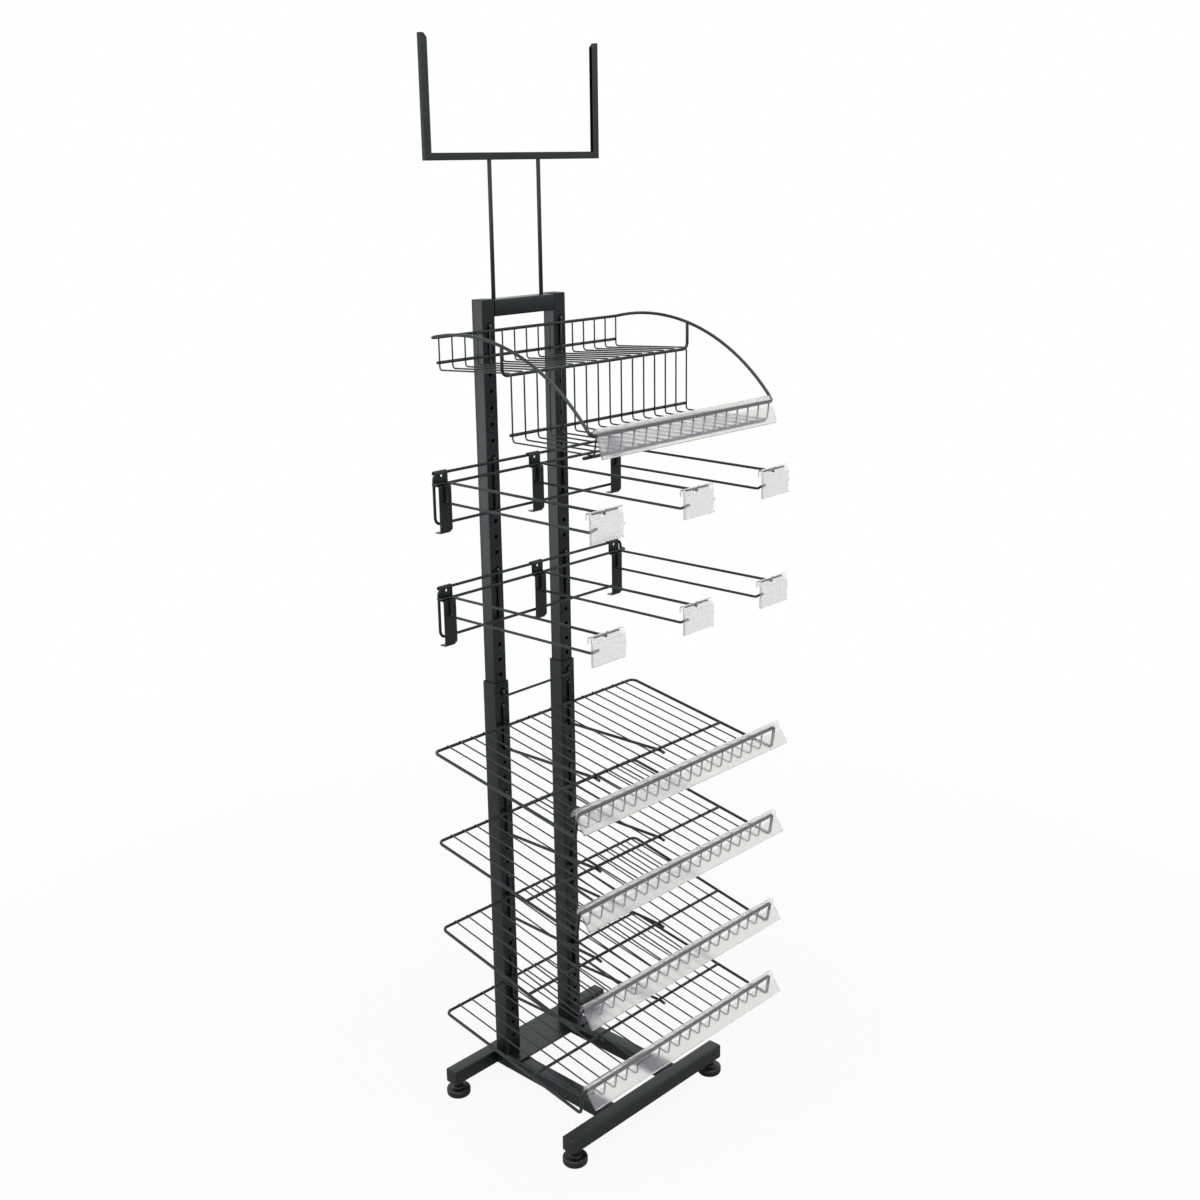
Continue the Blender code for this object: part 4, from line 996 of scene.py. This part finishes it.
def ticket():
    """A clip over the cross wire, with a notch for the arm, and a folded pocket of two clear
    leaves. The notch takes the clip's leg and two thirds of its half circle."""
    radius = CROSS_WIRE / 2 + GAP + 1.5 * TICKET_SHEET
    centre = np.array([-0.8 * TICKET_SHEET, -TICKET_SHEET / 2])
    back, leaf = centre[0] - radius, TICKET_SHEET + TICKET_GAP
    over = arc(centre, radius, 0, 180)
    corners = [(centre[0] + radius, -TICKET_LEG), *over, (back, -TICKET_HIGH),
               (back - leaf, -TICKET_HIGH), (back - leaf, -TICKET_MOUTH)]
    path = bend(corners, [0] * (1 + len(over)) + [leaf * FOLD, leaf * FOLD, 0], steps=4)
    columns = [-HALF_TICKET, -HALF_NOTCH, HALF_NOTCH, HALF_TICKET]
    return drawn_sheet(path, columns, cut_rows=9, cut_columns=(1,))


# %% Bars with their hooks
for level, hole_index, rise in (("upper", 40, 0), ("lower", 33, 4.5 * MM)):
    place = pivot(hole_index, BAR_WIRE)
    arms, cross = hook_arms(rise)
    piece("bar_wires_" + level, bar, STEEL, level + "_bar_unit", ["hook_bar_" + level], place)
    for side in ("left", "middle", "right"):
        name = level + "_" + side
        body = name + "_hook"
        origin = place + bar_top + (middle("hook_plate_" + name).x, 0, 0)
        piece("plate_" + name, hook_plate(), STEEL, body, ["hook_plate_" + name], origin,
              HOOK_SHEET, SHEET_EDGE)
        piece("arms_" + name, arms, STEEL, body, ["hook_arm_" + name], origin)
        piece("ticket_" + name, ticket(), TICKET, name + "_holder", ["ticket_holder_" + name],
              origin + cross, TICKET_SHEET, TICKET_EDGE)

# %% [markdown]
# ## Camera, light and floor
# The camera stands where the photograph was taken from, worked out from the straight tubes
# in it. The light is that of a pale studio: a white surround and large soft lamps.

# %% Camera
CAMERA_PLACE = (-1.6187, -1.5387, 1.5197)
azimuth, pitch, roll = np.radians([-46.56, 16.22, -0.787])
forward = np.array([-np.sin(azimuth), np.cos(azimuth), 0]) * np.cos(pitch)
forward = forward - (0, 0, np.sin(pitch))
right = np.array([np.cos(azimuth), np.sin(azimuth), 0])
up = np.cross(right, forward)
rolled_right = right * np.cos(roll) + up * np.sin(roll)
rolled_up = -right * np.sin(roll) + up * np.cos(roll)


def turned_to(x_axis, y_axis, z_axis, place):
    """A matrix whose columns are three axes and a place."""
    matrix = np.eye(4)
    matrix[:3] = np.column_stack([x_axis, y_axis, z_axis, place])
    return Matrix(matrix.tolist())


camera = show("Camera", bpy.data.cameras.new("Camera"))
camera.data.sensor_width = 36
camera.data.lens = 45.39
camera.data.clip_end = 50
camera.matrix_world = turned_to(rolled_right, rolled_up, -forward, CAMERA_PLACE)
scene.camera = camera
print("camera at", [round(x, 3) for x in camera.location])

# %% World
# What the camera sees is full white, also in a reflection or through the clear plastic;
# what lights the rack is less than half of that.
world = bpy.data.worlds.new("pale_studio")
scene.world = world
world.use_nodes = True
tree = world.node_tree
tree.nodes.clear()
ray = add(tree, "LightPath")
seen = ray.outputs["Is Camera Ray"]
for other in ("Is Transmission Ray", "Is Glossy Ray"):
    either = add(tree, "Math", {"operation": "MAXIMUM"}, {0: seen, 1: ray.outputs[other]})
    seen = either.outputs["Value"]
level = add(tree, "MapRange", {"To Min": 0.45, "To Max": 1.0}, {"Value": seen})
surround = add(tree, "Background", {"Color": linear("#ffffff")},
               {"Strength": level.outputs["Result"]})
add(tree, "OutputWorld", links={"Surface": surround.outputs["Background"]})
print("world:", world.name, "with", len(tree.nodes), "nodes")

# %% Lamps
# Name, width in metres, watts, place and what the lamp faces
LAMPS = (
    ("overhead_softbox", 2.4, 38, (-0.6, -0.8, 3.2), (0, 0, 0.9)),
    ("left_softbox", 1.8, 18, (-2.6, -0.3, 1.9), (0, 0, 0.8)),
    ("front_softbox", 1.8, 6, (0.8, -2.8, 2.2), (0, 0, 1.2)),
    ("low_left_softbox", 1.6, 15, (-2.4, 2.2, 0.6), (0, 0, 0.9)),
)
for name, size, energy, place, target in LAMPS:
    lamp = show(name, bpy.data.lights.new(name, "AREA"))
    lamp.data.shape = "SQUARE"
    lamp.data.size = size
    lamp.data.energy = energy
    away = unit(np.array(place) - np.array(target))
    flat = unit(np.cross((0, 0, 1), away))
    lamp.matrix_world = turned_to(flat, np.cross(away, flat), away, place)
    print(name, energy, "W")

# %% Floor
# The floor glows white to the camera. Within 2.4 m of the rack a small share of it is a
# matt grey that the lamps light instead, which keeps a faint trace of the rack's shadow.
floor_material, tree, output, coordinates = new_material("pale_studio_floor")
grain = add(tree, "TexNoise", {"Scale": 3.0}, {"Vector": coordinates})
tone = add(tree, "MapRange", {"To Min": 0.58, "To Max": 0.64}, {"Value": grain.outputs["Fac"]})
matt = add(tree, "BsdfPrincipled", {"Roughness": 0.9}, {"Base Color": tone.outputs["Result"]})
glow = add(tree, "Emission", {"Color": linear("#ffffff"), "Strength": 1.0})
ray = add(tree, "LightPath")
seen = add(tree, "Math", {"operation": "MAXIMUM"},
           {0: ray.outputs["Is Camera Ray"], 1: ray.outputs["Is Transmission Ray"]})
far = add(tree, "VectorMath", {"operation": "LENGTH"}, {"Vector": coordinates})
share = add(tree, "MapRange", {"From Min": 0.5, "From Max": 2.4, "To Min": 0.93, "To Max": 1.0},
            {"Value": far.outputs["Value"]})
share = add(tree, "Math", {"operation": "MULTIPLY"},
            {0: share.outputs["Result"], 1: seen.outputs["Value"]})
mixed = add(tree, "MixShader", None,
            {0: share.outputs["Value"], 1: matt.outputs["BSDF"], 2: glow.outputs["Emission"]})
tree.links.new(mixed.outputs["Shader"], output.inputs["Surface"])

FLOOR_REACH, FLOOR_DROP = 40.0, 0.5 * MM
points = np.array([(-1, -1), (1, -1), (1, 1), (-1, 1)]) * FLOOR_REACH
mesh = bpy.data.meshes.new("studio_floor")
mesh.from_pydata(np.insert(points, 2, -FLOOR_DROP, axis=1).tolist(), [], [[0, 1, 2, 3]])
mesh.materials.append(floor_material)
floor = show("studio_floor", mesh)
print("floor reaches", FLOOR_REACH, "m each way")

# %% Finish
scene.view_settings.view_transform = "Standard"
bpy.context.view_layer.update()
